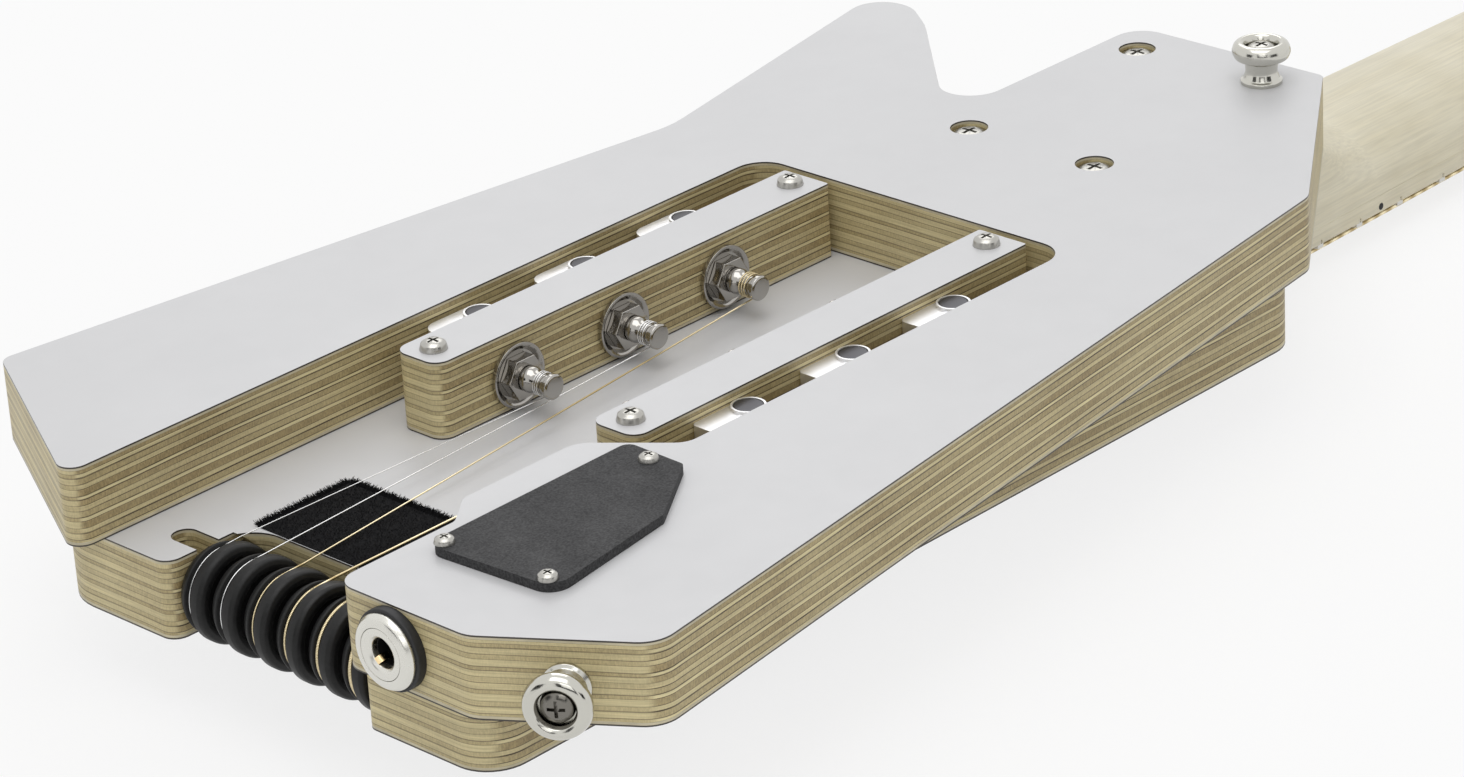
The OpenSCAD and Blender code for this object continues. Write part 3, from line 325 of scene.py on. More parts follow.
def maple(name, p):
    material, tree, shader = newMaterial(name, Coat_Weight=0.15, Coat_Roughness=0.4)
    spot = objectPlace(tree)
    figure = noise(tree, stretch(tree, spot, p["figure"]), 1.0, 4.0, Roughness=0.6, Distortion=0.3)
    fibres = noise(tree, stretch(tree, spot, p["fibre"]), 1.0, 2.0)
    ripple = noise(tree, stretch(tree, spot, p["ripple"]), 1.0, 1.0)
    tone = calc(tree, "ADD", calc(tree, "MULTIPLY", figure, p["figureShare"]),
                calc(tree, "MULTIPLY", ripple, p["rippleShare"]))
    wood = blendColours(tree, remap(tree, tone, *noiseSpan), p["dark"], p["light"])
    lines = remap(tree, fibres, *noiseSpan, *p["fibreTone"])
    tree.links.new(brighten(tree, wood, lines), shader["Base Color"])
    tree.links.new(remap(tree, fibres, 0.0, 1.0, *p["gloss"]), shader["Roughness"])
    bump(tree, shader, fibres, 0.06, 0.05 * mm)
    return material


def metal(name, colour, low, high, size=120.0, grit=0.0):
    material, tree, shader = newMaterial(name, Base_Color=(*colour, 1), Metallic=1.0)
    cloud = placeGroup(tree, surfaceCloud, Vector=objectPlace(tree), Size=size, Low=low, High=high)
    tree.links.new(cloud["Value"], shader["Roughness"])
    if grit:
        bump(tree, shader, cloud["Fine"], grit, 0.05 * mm)
    return material


def plastic(name, dark, light, low, high, size, grit, sheen=0.5):
    material, tree, shader = newMaterial(name, Specular_IOR_Level=sheen)
    cloud = placeGroup(tree, surfaceCloud, Vector=objectPlace(tree), Size=size, Low=low, High=high)
    share = remap(tree, cloud["Fine"], *noiseSpan)
    tree.links.new(blendColours(tree, share, (*dark, 1), (*light, 1)), shader["Base Color"])
    tree.links.new(cloud["Value"], shader["Roughness"])
    if grit:
        bump(tree, shader, cloud["Fine"], grit, 0.1 * mm)
    return material


# Wire wound round a core: ribs along the string, from its own length attribute. Each rib's colour goes from
# dark in the crease to light on the crown: painted shade and highlight
# dark is painted shade in the crease between turns, light a painted highlight on a crown
winding = {
    "wire": 0.34 * mm, "dark": (0.5, 0.39, 0.2, 1), "light": (0.93, 0.82, 0.56, 1), "gloss": (0.45, 0.25)}


def woundWire(name, p):
    material, tree, shader = newMaterial(name, Metallic=1.0)
    length = put(tree, "Attribute", {"attribute_name": "along"}).outputs["Fac"]
    ribAndCreaseShade = calc(tree, "SINE", calc(tree, "MULTIPLY", length, 2 * math.pi / p["wire"]))
    share = remap(tree, ribAndCreaseShade, -1.0, 1.0)
    # Dark in the creases between turns and light on their crowns: painted shade and highlight
    tree.links.new(blendColours(tree, share, p["dark"], p["light"]), shader["Base Color"])
    tree.links.new(remap(tree, share, 0.0, 1.0, *p["gloss"]), shader["Roughness"])
    bump(tree, shader, share, 0.6, 0.1 * mm)
    return material


# One material for each slot of the frame, and then the looks that single pieces have
finish = {
    "plywood": plywood("plywoodEdges"),
    "laminate": laminate("whiteLaminate", laminateSheet),
    "maple": maple("satinMaple", mapleGrain),
    "fret_wire": metal("fretWire", (0.6, 0.59, 0.56), 0.16, 0.28),
    "bone": plastic("bone", (0.74, 0.7, 0.58), (0.82, 0.79, 0.7), 0.35, 0.5, 60.0, 0.05),
    "steel": metal("zincSteel", (0.46, 0.45, 0.42), 0.24, 0.38, grit=0.05),
    "nickel": metal("polishedNickel", (0.66, 0.64, 0.58), 0.1, 0.2),
    "chrome": metal("polishedChrome", (0.52, 0.52, 0.52), 0.1, 0.2),
    "dark_chrome": metal("smokedChrome", (0.1, 0.1, 0.11), 0.3, 0.42, grit=0.04),
    "black_rubber": plastic("blackRubber", (0.008, 0.008, 0.009), (0.015, 0.015, 0.016),
                            0.5, 0.65, 80.0, 0.1),
    "black_plastic": plastic("turnedPlastic", (0.004, 0.004, 0.004), (0.009, 0.009, 0.009),
                             0.4, 0.55, 60.0, 0.06, 0.32),
    "cover_plastic": plastic("texturedCover", (0.008, 0.008, 0.009), (0.056, 0.056, 0.058),
                             0.65, 0.8, 110.0, 0.7, 0.45),
    "black_metal": plastic("powderCoat", (0.012, 0.012, 0.013), (0.024, 0.024, 0.026),
                           0.42, 0.55, 110.0, 0.25),
    "felt": plastic("blackPile", (0.0015, 0.0015, 0.002), (0.009, 0.009, 0.01), 0.9, 1.0, 120.0, 0.3, 0.2),
    "string_steel": metal("plainString", (0.8, 0.8, 0.8), 0.16, 0.26),
    "string_bronze": woundWire("bronzeWindingPaintedShade", winding),
    "case_chrome": metal("satinChrome", (0.86, 0.86, 0.87), 0.4, 0.5),
    "brass": metal("contactBrass", (0.95, 0.74, 0.42), 0.15, 0.25),
    "grey_nickel": metal("greyNickel", (0.4, 0.385, 0.36), 0.08, 0.16),
    "button_nickel": metal("buttonNickel", (0.58, 0.57, 0.52), 0.12, 0.22),
    # Dark steel for the inside of a strap button's cup and the screw in it: painted shade
    "painted_shade_steel": metal("paintedShadeSteel", (0.2, 0.19, 0.17), 0.16, 0.3),
    "satin_nickel": metal("satinNickel", (0.7, 0.69, 0.64), 0.24, 0.34)}
print("materials made")


def linkNew(name, data):
    thing = bpy.data.objects.new(name, data)
    bpy.context.scene.collection.objects.link(thing)
    return thing


def addPiece(name, mesh, body, slot, replaced=(), material=None):
    piece = linkNew(name, mesh)
    mesh.materials.clear()
    mesh.materials.append(finish[material or slot])
    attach(piece, body)
    if replaced:
        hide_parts(*replaced)
    return piece


def meshFrom(shape, name, sharp=None):
    for face in shape.faces:
        face.smooth = sharp is not None
    mesh = bpy.data.meshes.new(name)
    shape.to_mesh(mesh)
    shape.free()
    if sharp is not None:
        mesh.set_sharp_from_angle(angle=math.radians(sharp))
    return mesh


sharpEdge = 32  # degrees, from which an edge stays sharp in the shading

# CAD nodes whose sharp edges are eased, with each edge's width in mm
easedNodes = {
    "rear_core": 0.12, "front_core": 0.12, "treble_tuner_rail": 0.12, "bass_tuner_rail": 0.12,
    "rear_laminates": 0.14, "front_laminates": 0.14, "rail_laminates": 0.14,
    "neck": 0.2, "fretboard": 0.25, "frets": 0.15, "nut": 0.2,
    "body_screws": 0.12, "small_screws": 0.1, "retainer_screws": 0.12, "neck_bolts": 0.12,
    "tail_strap_screw": 0.12, "control_cover": 0.25, "bridge_plate": 0.3, "intonation_screws": 0.15,
    "pickup": 0.5, "string_retainer": 0.4, "tuner_housings": 0.8, "tuner_washers": 0.12,
    "tuner_nuts": 0.2, "volume_knob": 0.3, "tone_knob": 0.3, "roller_axle": 0.2,
    "tuner_post_": 0.2, "tuner_key_": 0.15, "saddle_": 0.4}
easing = {"merge": 1e-6, "flatUnder": 0.6, "segments": 2}  # merge in metres, flatUnder in degrees
ownFinish = {
    "tuner_housings": "case_chrome", "tuner_washers": "grey_nickel", "tuner_nuts": "grey_nickel",
    # The tail strap screw sits in its button's cup; its dark steel is painted shade
    "tail_strap_screw": "painted_shade_steel",
    **{"tuner_post_%d" % i: "grey_nickel" for i in range(1, 7)}}


def easedCopy(node, width, p):
    name = "eased_" + node
    shape = bmesh.new()
    shape.from_mesh(nodes[node].data)
    bmesh.ops.remove_doubles(shape, verts=shape.verts, dist=p["merge"])
    flat = math.radians(p["flatUnder"])
    bmesh.ops.dissolve_limit(shape, angle_limit=flat, verts=shape.verts, edges=shape.edges)
    mesh = meshFrom(shape, name, sharpEdge)
    piece = addPiece(name, mesh, bodyOf[node], slotOf[node], [node], ownFinish.get(node))
    bevel = piece.modifiers.new("easedEdges", "BEVEL")
    bevel.width, bevel.segments = width * mm, p["segments"]
    bevel.limit_method, bevel.angle_limit = "ANGLE", math.radians(sharpEdge)
    bevel.harden_normals = True


# Turned pieces: a profile is a list of radius, height and corner rounding in mm. A rounding
# takes no more of a side than the share given as reach
lathe = {"steps": 72, "cornerSteps": 4, "reach": 0.48, "merge": 1e-7}  # merge in metres


def easeCorners(points, p):
    line = []
    for k, (x, y, rounding) in enumerate(points):
        here = Vector((x, y))
        before, after = Vector(points[k - 1][:2]) - here, Vector(points[(k + 1) % len(points)][:2]) - here
        if not rounding:
            line.append(here)
            continue
        half = before.angle(after) / 2
        cut = min(rounding / math.tan(half), p["reach"] * before.length, p["reach"] * after.length)
        start, end = here + before.normalized() * cut, here + after.normalized() * cut
        for n in range(p["cornerSteps"] + 1):
            t = n / p["cornerSteps"]
            line.append((1 - t) ** 2 * start + 2 * t * (1 - t) * here + t * t * end)
    return line


# A profile that starts and ends on the axis isn't closed. Faces inside the cup get the second material, a
# dark steel that is painted shade in the cup
def spinProfile(shape, points, place, closed=True, cup=None):
    line = easeCorners(points, lathe)
    made = [shape.verts.new((p.x * mm, 0, p.y * mm)) for p in line]
    pairs = list(zip(made, made[1:])) + ([(made[-1], made[0])] if closed else [])
    rims = [shape.edges.new(pair) for pair in pairs]
    old = set(shape.verts) - set(made)
    bmesh.ops.spin(shape, geom=made + rims, cent=(0, 0, 0), axis=(0, 0, 1), angle=2 * math.pi,
                   steps=lathe["steps"], use_merge=True)
    fresh = [v for v in shape.verts if v not in old]
    bmesh.ops.remove_doubles(shape, verts=fresh, dist=lathe["merge"])
    fresh = [v for v in shape.verts if v not in old]
    faces = list({f for v in fresh for f in v.link_faces})
    bmesh.ops.recalc_face_normals(shape, faces=faces)
    for face in faces:
        middle = face.calc_center_median()
        if cup and math.hypot(middle.x, middle.y) < cup[0] * mm and middle.z > cup[1] * mm:
            face.material_index = 1
    bmesh.ops.transform(shape, matrix=place, verts=fresh)


def sideways(spot, turn):
    place = Matrix.Translation(fromBolts(*spot))
    if turn is None:
        return place
    return place @ Matrix.Rotation(math.radians(turn), 4, "Z") @ Matrix.Rotation(math.pi / 2, 4, "Y")


# Strap buttons, one on the back face and one on the tail's end
strapButtons = {
    "profile": [
        (2.2, 0, 0), (5.45, 0, 0.12), (5.5, 0.95, 0.25), (4.75, 1.5, 0.5), (4.15, 3.2, 2.4),
        (4.4, 6.2, 1.2), (7.0, 7.0, 1.0), (7.8, 8.8, 2.2), (7.1, 10.9, 2.0), (5.5, 11.6, 1.5),
        (4.6, 11.0, 0.7), (4.15, 10.0, 0.5), (4.1, 8.4, 0), (2.2, 8.4, 0)],
    # cup: radius and height past which faces get dark steel, painted shade inside the cup
    "cup": (4.5, 8.2), "places": [((34.15, -20.75, 0), None), ((-296.78, -95.595, -10.8), 212.52)]}


def makeStrapButtons(p):
    shape = bmesh.new()
    for spot, turn in p["places"]:
        spinProfile(shape, p["profile"], sideways(spot, turn), cup=p["cup"])
    mesh = meshFrom(shape, "strapButtonPair", sharpEdge)
    buttons = addPiece("strapButtonPair", mesh, "guitar_body", "nickel", ["strap_buttons"], "button_nickel")
    # Dark steel inside the cups: painted shade
    buttons.data.materials.append(finish["painted_shade_steel"])


# Output jack, with heights from the face that its washer sits on. The leaf is its spring contact. The black
# lining, closed at its bottom, is painted shade in the bore
jack = {
    "place": ((-308, -55.7, -10), 180),
    "nut": [
        (6.05, 2.4, 0), (8.75, 2.4, 0.1), (8.8, 3.1, 0.5), (8.1, 4.2, 1.1), (6.7, 4.65, 0.6),
        (6.1, 4.55, 0.12), (6.05, 4.2, 0)],
    "washer": [(6.1, 0, 0), (9.5, 0, 0.1), (9.5, 2.4, 0.5), (6.1, 2.4, 0)],
    "barrel": [
        (3.3, -36, 0), (6, -36, 0.4), (6, 4.55, 0.15), (5.0, 4.6, 0.8), (4.2, 4.4, 0.8), (3.5, 3.7, 0.6),
        (3.3, 2.4, 0)],
    "lining": [(0, -32, 0), (3.3, -32, 0), (3.3, 2.3, 0.05), (3.2, 2.3, 0.05), (3.2, -31, 0.3), (0, -31, 0)],
    "leafWide": 0.8, "leafRadius": (2.3, 2.6), "leafSweep": 100, "leafSteps": 12, "leafTurn": 50,
    "leafMiddle": (0, -4.85, 2)}


def makeJack(p):
    seat = sideways(*p["place"])
    for name, key, replaced, slot, look in (
            ("jackDomedNut", "nut", ["jack_nut"], "nickel", "satin_nickel"),
            ("jackRubberRing", "washer", ["jack_washer"], "black_rubber", None),
            ("jackSocket", "barrel", ["output_jack"], "nickel", "satin_nickel"),
            # A black tube closed at its bottom: painted shade deep in the bore
            ("jackShadeLining", "lining", [], "black_plastic", None)):
        shape = bmesh.new()
        spinProfile(shape, p[key], seat, key != "lining")
        addPiece(name, meshFrom(shape, name, sharpEdge), "guitar_body", slot, replaced, look)
    shape = bmesh.new()
    wide, (inner, outer) = p["leafWide"], p["leafRadius"]
    leaf = [shape.verts.new(Vector((x, y, 0)) * mm)
            for x, y in ((-wide, inner), (wide, inner), (wide, outer), (-wide, outer))]
    sweep = math.radians(p["leafSweep"])
    bmesh.ops.rotate(shape, cent=(0, 0, 0), matrix=Matrix.Rotation(-sweep / 2, 3, "X"), verts=leaf)
    bmesh.ops.spin(shape, geom=leaf + [shape.faces.new(leaf)], cent=(0, 0, 0), axis=(1, 0, 0),
                   angle=sweep, steps=p["leafSteps"])
    bmesh.ops.recalc_face_normals(shape, faces=shape.faces)
    turned = seat @ Matrix.Rotation(math.radians(p["leafTurn"]), 4, "Z")
    inside = Matrix.Translation(Vector(p["leafMiddle"]) * mm)
    bmesh.ops.transform(shape, matrix=turned @ inside, verts=shape.verts)
    addPiece("jackContact", meshFrom(shape, "jackContact", sharpEdge), "guitar_body", "nickel", [], "brass")


# String rollers: hub and tread on the bass side, then the string's groove, then the sloped treble flange
rollers = {
    "hub": [(3.05, -5.2, 0), (5.2, -5.2, 0.2), (5.2, -4.1, 0.3), (9.0, -4.1, 0.3), (9.2, -5.2, 0.4),
            (10.4, -5.2, 0.8)],
    "tread": [(11.5, -4.8, 0.9), (11.9, -3.9, 1.0), (11.9, -1.75, 0.4)],
    "grooveHalf": 0.7, "grooveCorner": 0.15, "grooveGap": 0.3,
    "flange": [(11.15, 1.2, 0.4), (10.7, 2.3, 1.0), (9.6, 4.0, 1.0), (3.05, 4.0, 0)]}


def makeRollers(p):
    for i, radius in enumerate(layout["stringRadius"], 1):
        floor = layout["wrap"] - radius - p["grooveGap"]
        groove = [(floor, side * p["grooveHalf"], p["grooveCorner"]) for side in (-1, 1)]
        place = Matrix.Translation(fromBolts(layout["axle"][0], rollerSide(i), layout["axle"][1]))
        shape = bmesh.new()
        spinProfile(shape, p["hub"] + p["tread"] + groove + p["flange"],
                    place @ Matrix.Rotation(-math.pi / 2, 4, "X"))
        name = "turnedRoller%d" % i
        mesh = meshFrom(shape, name, sharpEdge)
        addPiece(name, mesh, "roller_%d_body" % i, "black_plastic", ["roller_%d" % i])


# Position dots let into the fretboard between two frets, in its bass edge and in its face
boardDots = {
    "frets": [3, 5, 7, 9, 12, 15, 17, 19, 21], "octave": 12, "pairAt": (-11.0, 11.0),
    "sideRadius": 1.0, "faceRadius": 3.0, "sunk": 0.5, "proud": 0.05, "dome": 0.05, "corner": 0.04,
    "height": -48.9, "halfAtNut": 21.4, "halfAtEnd": 29.0, "end": -73.99}


def makeBoardDots(p):
    shape = bmesh.new()
    nut = layout["nut"]

    def addDot(radius, place):
        profile = [(0, -p["sunk"], 0), (radius, -p["sunk"], 0), (radius, p["proud"], p["corner"]),
                   (0, p["proud"] + p["dome"], 0)]
        spinProfile(shape, profile, place, False)

    lean = math.atan2(p["halfAtEnd"] - p["halfAtNut"], nut - p["end"])
    facesBass = Matrix.Rotation(lean, 4, "Z") @ Matrix.Rotation(math.pi / 2, 4, "X")
    for n in p["frets"]:
        x = nut - layout["scale"] * (1 - (2 ** (-n / 12) + 2 ** (-(n - 1) / 12)) / 2)
        half = p["halfAtNut"] + (p["halfAtEnd"] - p["halfAtNut"]) * (nut - x) / (nut - p["end"])
        addDot(p["sideRadius"], Matrix.Translation(fromBolts(x, -half, p["height"])) @ facesBass)
        for across in p["pairAt"] if n == p["octave"] else (0,):
            low = layout["boardAxis"] - math.sqrt(layout["boardRadius"] ** 2 - across ** 2)
            spot = Matrix.Translation(fromBolts(x, across, low))
            addDot(p["faceRadius"], spot @ Matrix.Rotation(math.pi, 4, "X"))
    addPiece("fretboardDots", meshFrom(shape, "fretboardDots", sharpEdge), "guitar_body", "black_plastic")


makeStrapButtons(strapButtons)
makeJack(jack)
makeRollers(rollers)
makeBoardDots(boardDots)
print("turned pieces made")

for node in sorted(nodes):
    for key, width in easedNodes.items():
        if node == key or (key[-1] == "_" and node.startswith(key) and node[len(key):].isdigit()):
            easedCopy(node, width, easing)
for node, thing in nodes.items():
    thing.data.materials.clear()
    thing.data.materials.append(finish[slotOf[node]])
print("nodes eased")

# Strings, along the same way as the solids. The ball end is a list of lengths and radii
stringing = {
    "turns": [3, 3, 3, 2, 1.5, 1.5], "turnClear": 0.42, "pitch": 10.4, "nutPitch": 7.1, "slipGap": 0.1,
    "freeGap": 0.3, "postDepth": 11.2, "postX": 194.1, "postPitch": 35.6, "waist": 2.5, "waistMiddle": 9.5,
    "railIn": 24.9, "saddle": -245.2, "saddleBend": 4, "saddleHigh": 3.2, "nutHigh": 0.5, "nutDepth": 3.5,
    "fret": 1.2, "retainer": (388.45, 396.45, -51.5), "ball": [(2.2, 1.2), (1.9, 1.9), (0.3, 1.9), (0, 1.2)],
    "ballLip": 0.05, "grooveRun": 6.5, "turnRings": 48, "rollerRings": 40, "boreRings": 2, "sharp": 50}


def stringRoute(i, p):
    r, side = layout["stringRadius"][i - 1], 1 if i <= 3 else -1
    step = i - 1 if i <= 3 else 6 - i
    y, nutY, rollerY = p["pitch"] * fromMiddle(i), p["nutPitch"] * fromMiddle(i), rollerSide(i)
    postX, postZ = -p["postX"] + step * p["postPitch"], -p["postDepth"]
    (axleX, axleZ), wrap, nut = layout["axle"], layout["wrap"], layout["nut"]
    wind = p["waist"] + p["freeGap"] + r

    def crown(across, low):
        return layout["boardAxis"] - math.sqrt((layout["boardRadius"] + low) ** 2 - across ** 2) - r

    nutZ, saddleZ = crown(nutY, p["fret"] + p["nutHigh"]), crown(y, p["fret"] + p["saddleHigh"])
    slope = (saddleZ - nutZ) / (nut - p["saddle"])
    bendX, bendZ = p["saddle"] - p["saddleBend"], saddleZ + p["saddleBend"] * slope
    run = math.atan2(postZ - axleZ, postX - axleX) - math.asin(
        (wrap + wind) / math.hypot(postX - axleX, postZ - axleZ))
    low = math.atan2(bendZ - axleZ, bendX - axleX) - math.acos(
        wrap / math.hypot(bendX - axleX, bendZ - axleZ))
    high = run - 1.5 * math.pi
    ball = p["retainer"][1] + p["slipGap"]
    holeZ, gap = p["retainer"][2], 2 * r + p["turnClear"]
    start = p["railIn"] - p["waistMiddle"] - p["turns"][i - 1] * gap / 2
    route = [(ball + length, nutY, holeZ, radius) for length, radius in p["ball"]]
    route += [(ball - p["ballLip"], nutY, holeZ, r), (p["retainer"][0], nutY, holeZ, r),
              (nut + p["nutDepth"], nutY, nutZ, r), (nut, nutY, nutZ, r),
              (p["saddle"], y, saddleZ, r), (bendX, y, bendZ, r)]
    route.append((axleX + wrap * math.cos(low) - p["grooveRun"] * math.sin(low), rollerY,
                  axleZ + wrap * math.sin(low) + p["grooveRun"] * math.cos(low), r))
    for k in range(p["rollerRings"] + 1):
        a = low + (high - low) * k / p["rollerRings"]
        route.append((axleX + wrap * math.cos(a), rollerY, axleZ + wrap * math.sin(a), r))
    route.append((axleX + wrap * math.cos(high) + p["grooveRun"] * math.cos(run), rollerY,
                  axleZ + wrap * math.sin(high) + p["grooveRun"] * math.sin(run), r))
    rings = int(p["turns"][i - 1] * p["turnRings"])
    for k in range(rings + 1):
        a = run - math.pi / 2 + 2 * math.pi * k / p["turnRings"]
        route.append((postX + wind * math.cos(a), side * (start + gap * k / p["turnRings"]),
                      postZ + wind * math.sin(a), r))
    route.append((postX + wind * math.cos(a) - 2 * r * math.sin(a), side * (start + gap * p["turns"][i - 1]),
                  postZ + wind * math.sin(a) + 2 * r * math.cos(a), r))
    return route


def stringMesh(name, indices, p):
    whole = bmesh.new()
    layer = whole.verts.layers.float.new("along")
    for i in indices:
        route = stringRoute(i, p)
        curve = bpy.data.curves.new("route", "CURVE")
        curve.dimensions, curve.twist_mode = "3D", "MINIMUM"
        curve.bevel_depth, curve.bevel_resolution, curve.use_fill_caps = 1 * mm, p["boreRings"], True
        spline = curve.splines.new("POLY")
        spline.points.add(len(route) - 1)
        for point, (x, y, z, r) in zip(spline.points, route):
            point.co = (*fromBolts(x, y, z), 1)
            point.radius = r
        guide = linkNew("guide", curve)
        bpy.context.view_layer.update()
        tube = bpy.data.meshes.new_from_object(guide.evaluated_get(bpy.context.evaluated_depsgraph_get()))
        sides = len(tube.vertices) // len(route)
        before = len(whole.verts)
        whole.from_mesh(tube)
        whole.verts.ensure_lookup_table()
        length = 0
        for k, spot in enumerate(route):
            if k:
                length += (Vector(spot[:3]) - Vector(route[k - 1][:3])).length * mm
            for n in range(sides):
                whole.verts[before + k * sides + n][layer] = length
        print("string", i, "length", round(length / mm, 1), "mm,", sides, "sides")
        bpy.data.objects.remove(guide)
        bpy.data.curves.remove(curve)
        bpy.data.meshes.remove(tube)
    return meshFrom(whole, name, p["sharp"])


for name, indices, slot, node in (
        ("plainStringPair", [1, 2], "string_steel", "plain_strings"),
        ("woundStringSet", [3, 4, 5, 6], "string_bronze", "wound_strings")):
    addPiece(name, stringMesh(name, indices, stringing), "guitar_body", slot, [node])
print("strings strung")

# Pile pad under the strings: a backing sheet, and the pile that stands on it and frays at three edges
pilePad = {
    "base": 0.3, "corner": 0.1, "size": (28.5, 55), "rooted": 0.6,
    "patch": 3.5, "patches": 4, "strip": 4.0, "stripDepth": 0.8, "shortest": 0.45,
    "pile": {"count": 75, "tall": 0.7, "root": 0.09, "tip": 0.015, "lean": 0, "spread": 0.9},
    "fringe": {"count": 130, "tall": 1.9, "root": 0.12, "tip": 0.045, "lean": 1.1, "spread": 0.42}}


def fibreMesh(width, depth, shortest, f):
    shape = bmesh.new()
    for _ in range(f["count"]):
        tilt = Matrix.Rotation(dice.uniform(-f["spread"], f["spread"]) + f["lean"], 4, "X") @ Matrix.Rotation(
            dice.uniform(-f["spread"], f["spread"]), 4, "Y")
        high = f["tall"] * dice.uniform(shortest, 1.0)
        root = Matrix.Translation(Vector((dice.random() * width, dice.random() * depth, 0)) * mm)
        place = root @ tilt @ Matrix.Translation((0, 0, high * mm / 2))
        bmesh.ops.create_cone(shape, segments=3, radius1=f["root"] * mm, radius2=f["tip"] * mm,
                              depth=high * mm, matrix=place, cap_ends=False)
    return meshFrom(shape, "fibres")


def layMesh(shape, mesh, place):
    before = len(shape.verts)
    shape.from_mesh(mesh)
    shape.verts.ensure_lookup_table()
    bmesh.ops.transform(shape, matrix=place, verts=shape.verts[before:])


def makeBacking(p, low, high):
    size = high - low
    shape = bmesh.new()
    bmesh.ops.create_cube(shape, size=1)
    bmesh.ops.scale(shape, vec=(size.x, size.y, p["base"] * mm), verts=shape.verts)
    bmesh.ops.bevel(shape, geom=shape.edges[:], offset=p["corner"] * mm, segments=2, profile=0.5,
                    affect="EDGES", material=-1)
    bmesh.ops.translate(shape, vec=((low.x + high.x) / 2, (low.y + high.y) / 2, low.z + p["base"] * mm / 2),
                        verts=shape.verts)
    mesh = meshFrom(shape, "padBacking", sharpEdge)
    return addPiece("padBacking", mesh, "guitar_body", "felt", ["felt_pad"])


def makePile(p, low, high):
    size = high - low
    top = low.z + p["base"] * mm * p["rooted"]
    across, along = round(size.x / mm / p["patch"]), round(size.y / mm / p["patch"])
    stepX, stepY = size.x / across, size.y / along
    patches = [fibreMesh(stepX / mm, stepY / mm, p["shortest"], p["pile"]) for _ in range(p["patches"])]
    shape = bmesh.new()
    for cx in range(across):
        for cy in range(along):
            place = Matrix.Translation((low.x + cx * stepX, low.y + cy * stepY, top))
            layMesh(shape, dice.choice(patches), place)
    strips = [fibreMesh(p["strip"], p["stripDepth"], p["shortest"], p["fringe"]) for _ in range(p["patches"])]
    edges = [((low.x, low.y), 0, size.x), ((high.x, low.y), 90, size.y), ((high.x, high.y), 180, size.x)]
    for corner, turn, length in edges:
        place = Matrix.Translation((*corner, top)) @ Matrix.Rotation(math.radians(turn), 4, "Z")
        count = round(length / mm / p["strip"])
        for k in range(count):
            layMesh(shape, dice.choice(strips), place @ Matrix.Translation((k * length / count, 0, 0)))
    for mesh in patches + strips:
        bpy.data.meshes.remove(mesh)
    return addPiece("padPile", meshFrom(shape, "padPile"), "guitar_body", "felt")


def makePad(p):
    low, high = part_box("felt_pad")
    backing = makeBacking(p, low, high)
    pile = makePile(p, low, high)
    print("pad made,", len(pile.data.polygons), "faces of pile")


makePad(pilePad)

# Floor, lamps and background in metres: a lamp is a place, a size and a power, a card a place and a size
studio = {
    "aim": (-0.15, 0, 0), "world": 0.52,
    "floorSize": 8, "floorColour": (0.9, 0.9, 0.9, 1), "floorBelow": 0.2 * mm, "backdropShare": 0.8,
    "lamps": [((-0.5, -0.2, 1.9), 1.5, 12), ((0.9, 0.9, 1.4), 1.1, 5.6), ((-1.3, -1.2, 0.9), 0.8, 2.8)],
    "cardColour": (0.02, 0.02, 0.02, 1),
    "cards": [
        ((-1.6, -1.4, 0.75), (1.5, 0.9)), ((-0.1, -1.7, 0.4), (0.9, 0.5)), ((-1.9, 0.3, 0.5), (0.8, 0.6))]}


def towardsGuitar(place, s):
    return (Vector(s["aim"]) - Vector(place)).to_track_quat("-Z", "Y")


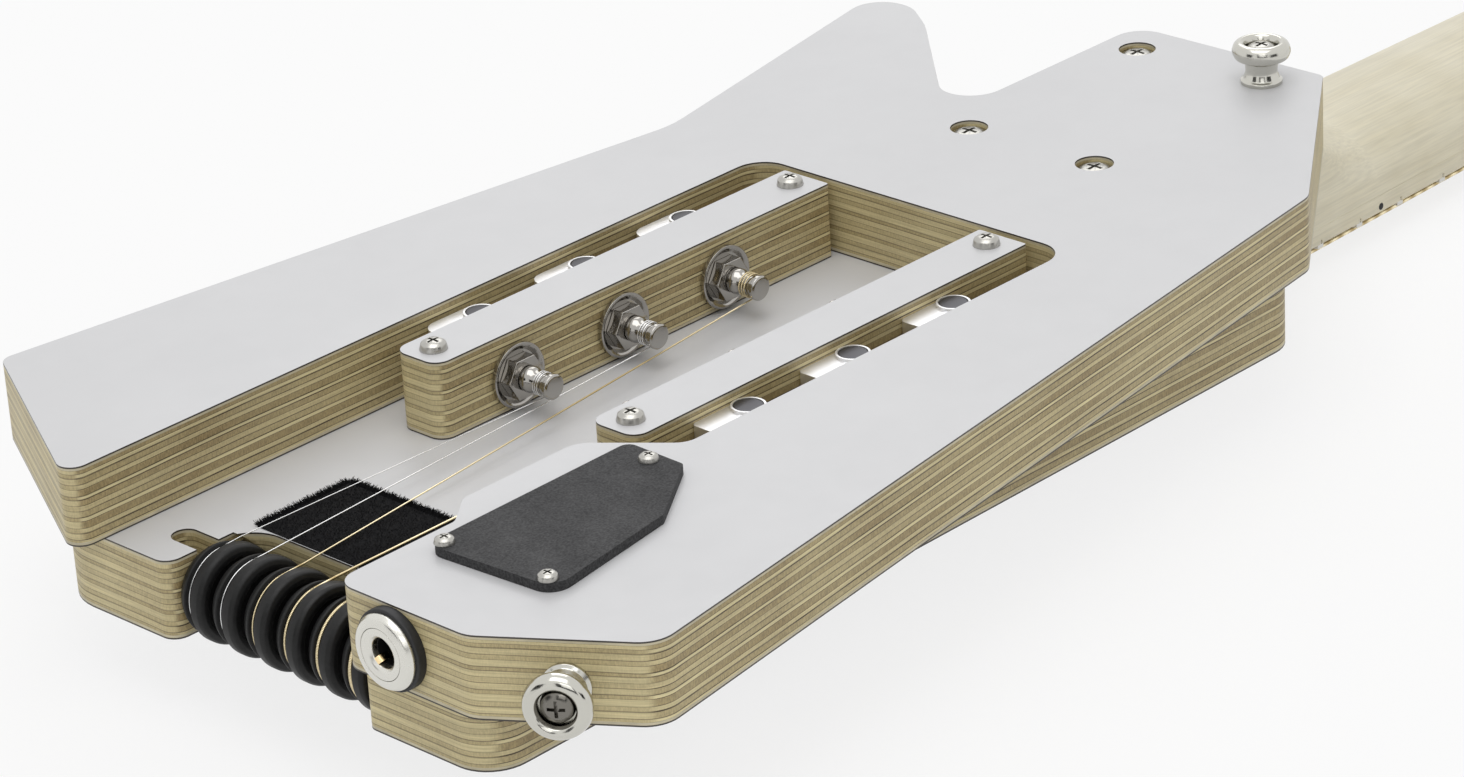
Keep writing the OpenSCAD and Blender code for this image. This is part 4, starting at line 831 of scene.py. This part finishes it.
def makeFloor(s):
    material, tree, _ = newMaterial("paleFloor", Base_Color=s["floorColour"], Roughness=0.9)
    rays = put(tree, "LightPath").outputs
    seen = calc(tree, "MINIMUM", calc(tree, "ADD", rays["Is Camera Ray"], rays["Is Glossy Ray"]), 1.0)
    plain = put(tree, "Emission", Color=(1, 1, 1, 1), Strength=1.0)
    mixed = put(tree, "MixShader", i0=calc(tree, "MULTIPLY", seen, s["backdropShare"]),
                i1=tree.nodes["Principled BSDF"].outputs[0], i2=plain.outputs[0])
    tree.links.new(mixed.outputs[0], tree.nodes["Material Output"].inputs["Surface"])
    shape = bmesh.new()
    bmesh.ops.create_grid(shape, x_segments=1, y_segments=1, size=s["floorSize"] / 2)
    bmesh.ops.translate(shape, vec=(0, 0, -s["floorBelow"]), verts=shape.verts)
    mesh = meshFrom(shape, "studioFloor")
    mesh.materials.append(material)
    floor = linkNew("studioFloor", mesh)


def makeLight(s):
    world = bpy.data.worlds.new("studioWorld")
    bpy.context.scene.world = world
    world.use_nodes = True
    tree = world.node_tree
    rays = put(tree, "LightPath").outputs
    seen = calc(tree, "ADD", rays["Is Camera Ray"], rays["Is Glossy Ray"])
    seen = calc(tree, "MINIMUM", calc(tree, "ADD", seen, rays["Is Transmission Ray"]), 1.0)
    tree.nodes["Background"].inputs["Color"].default_value = (1, 1, 1, 1)
    tree.links.new(remap(tree, seen, 0.0, 1.0, s["world"], 1.0), tree.nodes["Background"].inputs["Strength"])
    for k, (place, size, power) in enumerate(s["lamps"]):
        lamp = bpy.data.lights.new("softbox%d" % k, "AREA")
        lamp.size, lamp.energy = size, power
        thing = linkNew("softbox%d" % k, lamp)
        thing.location = place
        thing.rotation_euler = towardsGuitar(place, s).to_euler()


# Dark cards that only the metal reflects
def makeCards(s):
    dark, _, _ = newMaterial("darkCard", Base_Color=s["cardColour"], Roughness=0.9)
    for k, (place, size) in enumerate(s["cards"]):
        shape = bmesh.new()
        bmesh.ops.create_grid(shape, x_segments=1, y_segments=1, size=0.5)
        bmesh.ops.scale(shape, vec=(*size, 1), verts=shape.verts)
        facing = towardsGuitar(place, s).to_matrix().to_4x4()
        bmesh.ops.transform(shape, matrix=Matrix.Translation(place) @ facing, verts=shape.verts)
        mesh = meshFrom(shape, "darkCard%d" % k)
        mesh.materials.append(dark)
        card = linkNew("darkCard%d" % k, mesh)
        card.visible_camera = card.visible_diffuse = card.visible_shadow = card.visible_transmission = False


makeFloor(studio)
makeLight(studio)
makeCards(studio)
bpy.context.scene.view_settings.view_transform = "Standard"
print("studio ready")

bpy.context.view_layer.update()
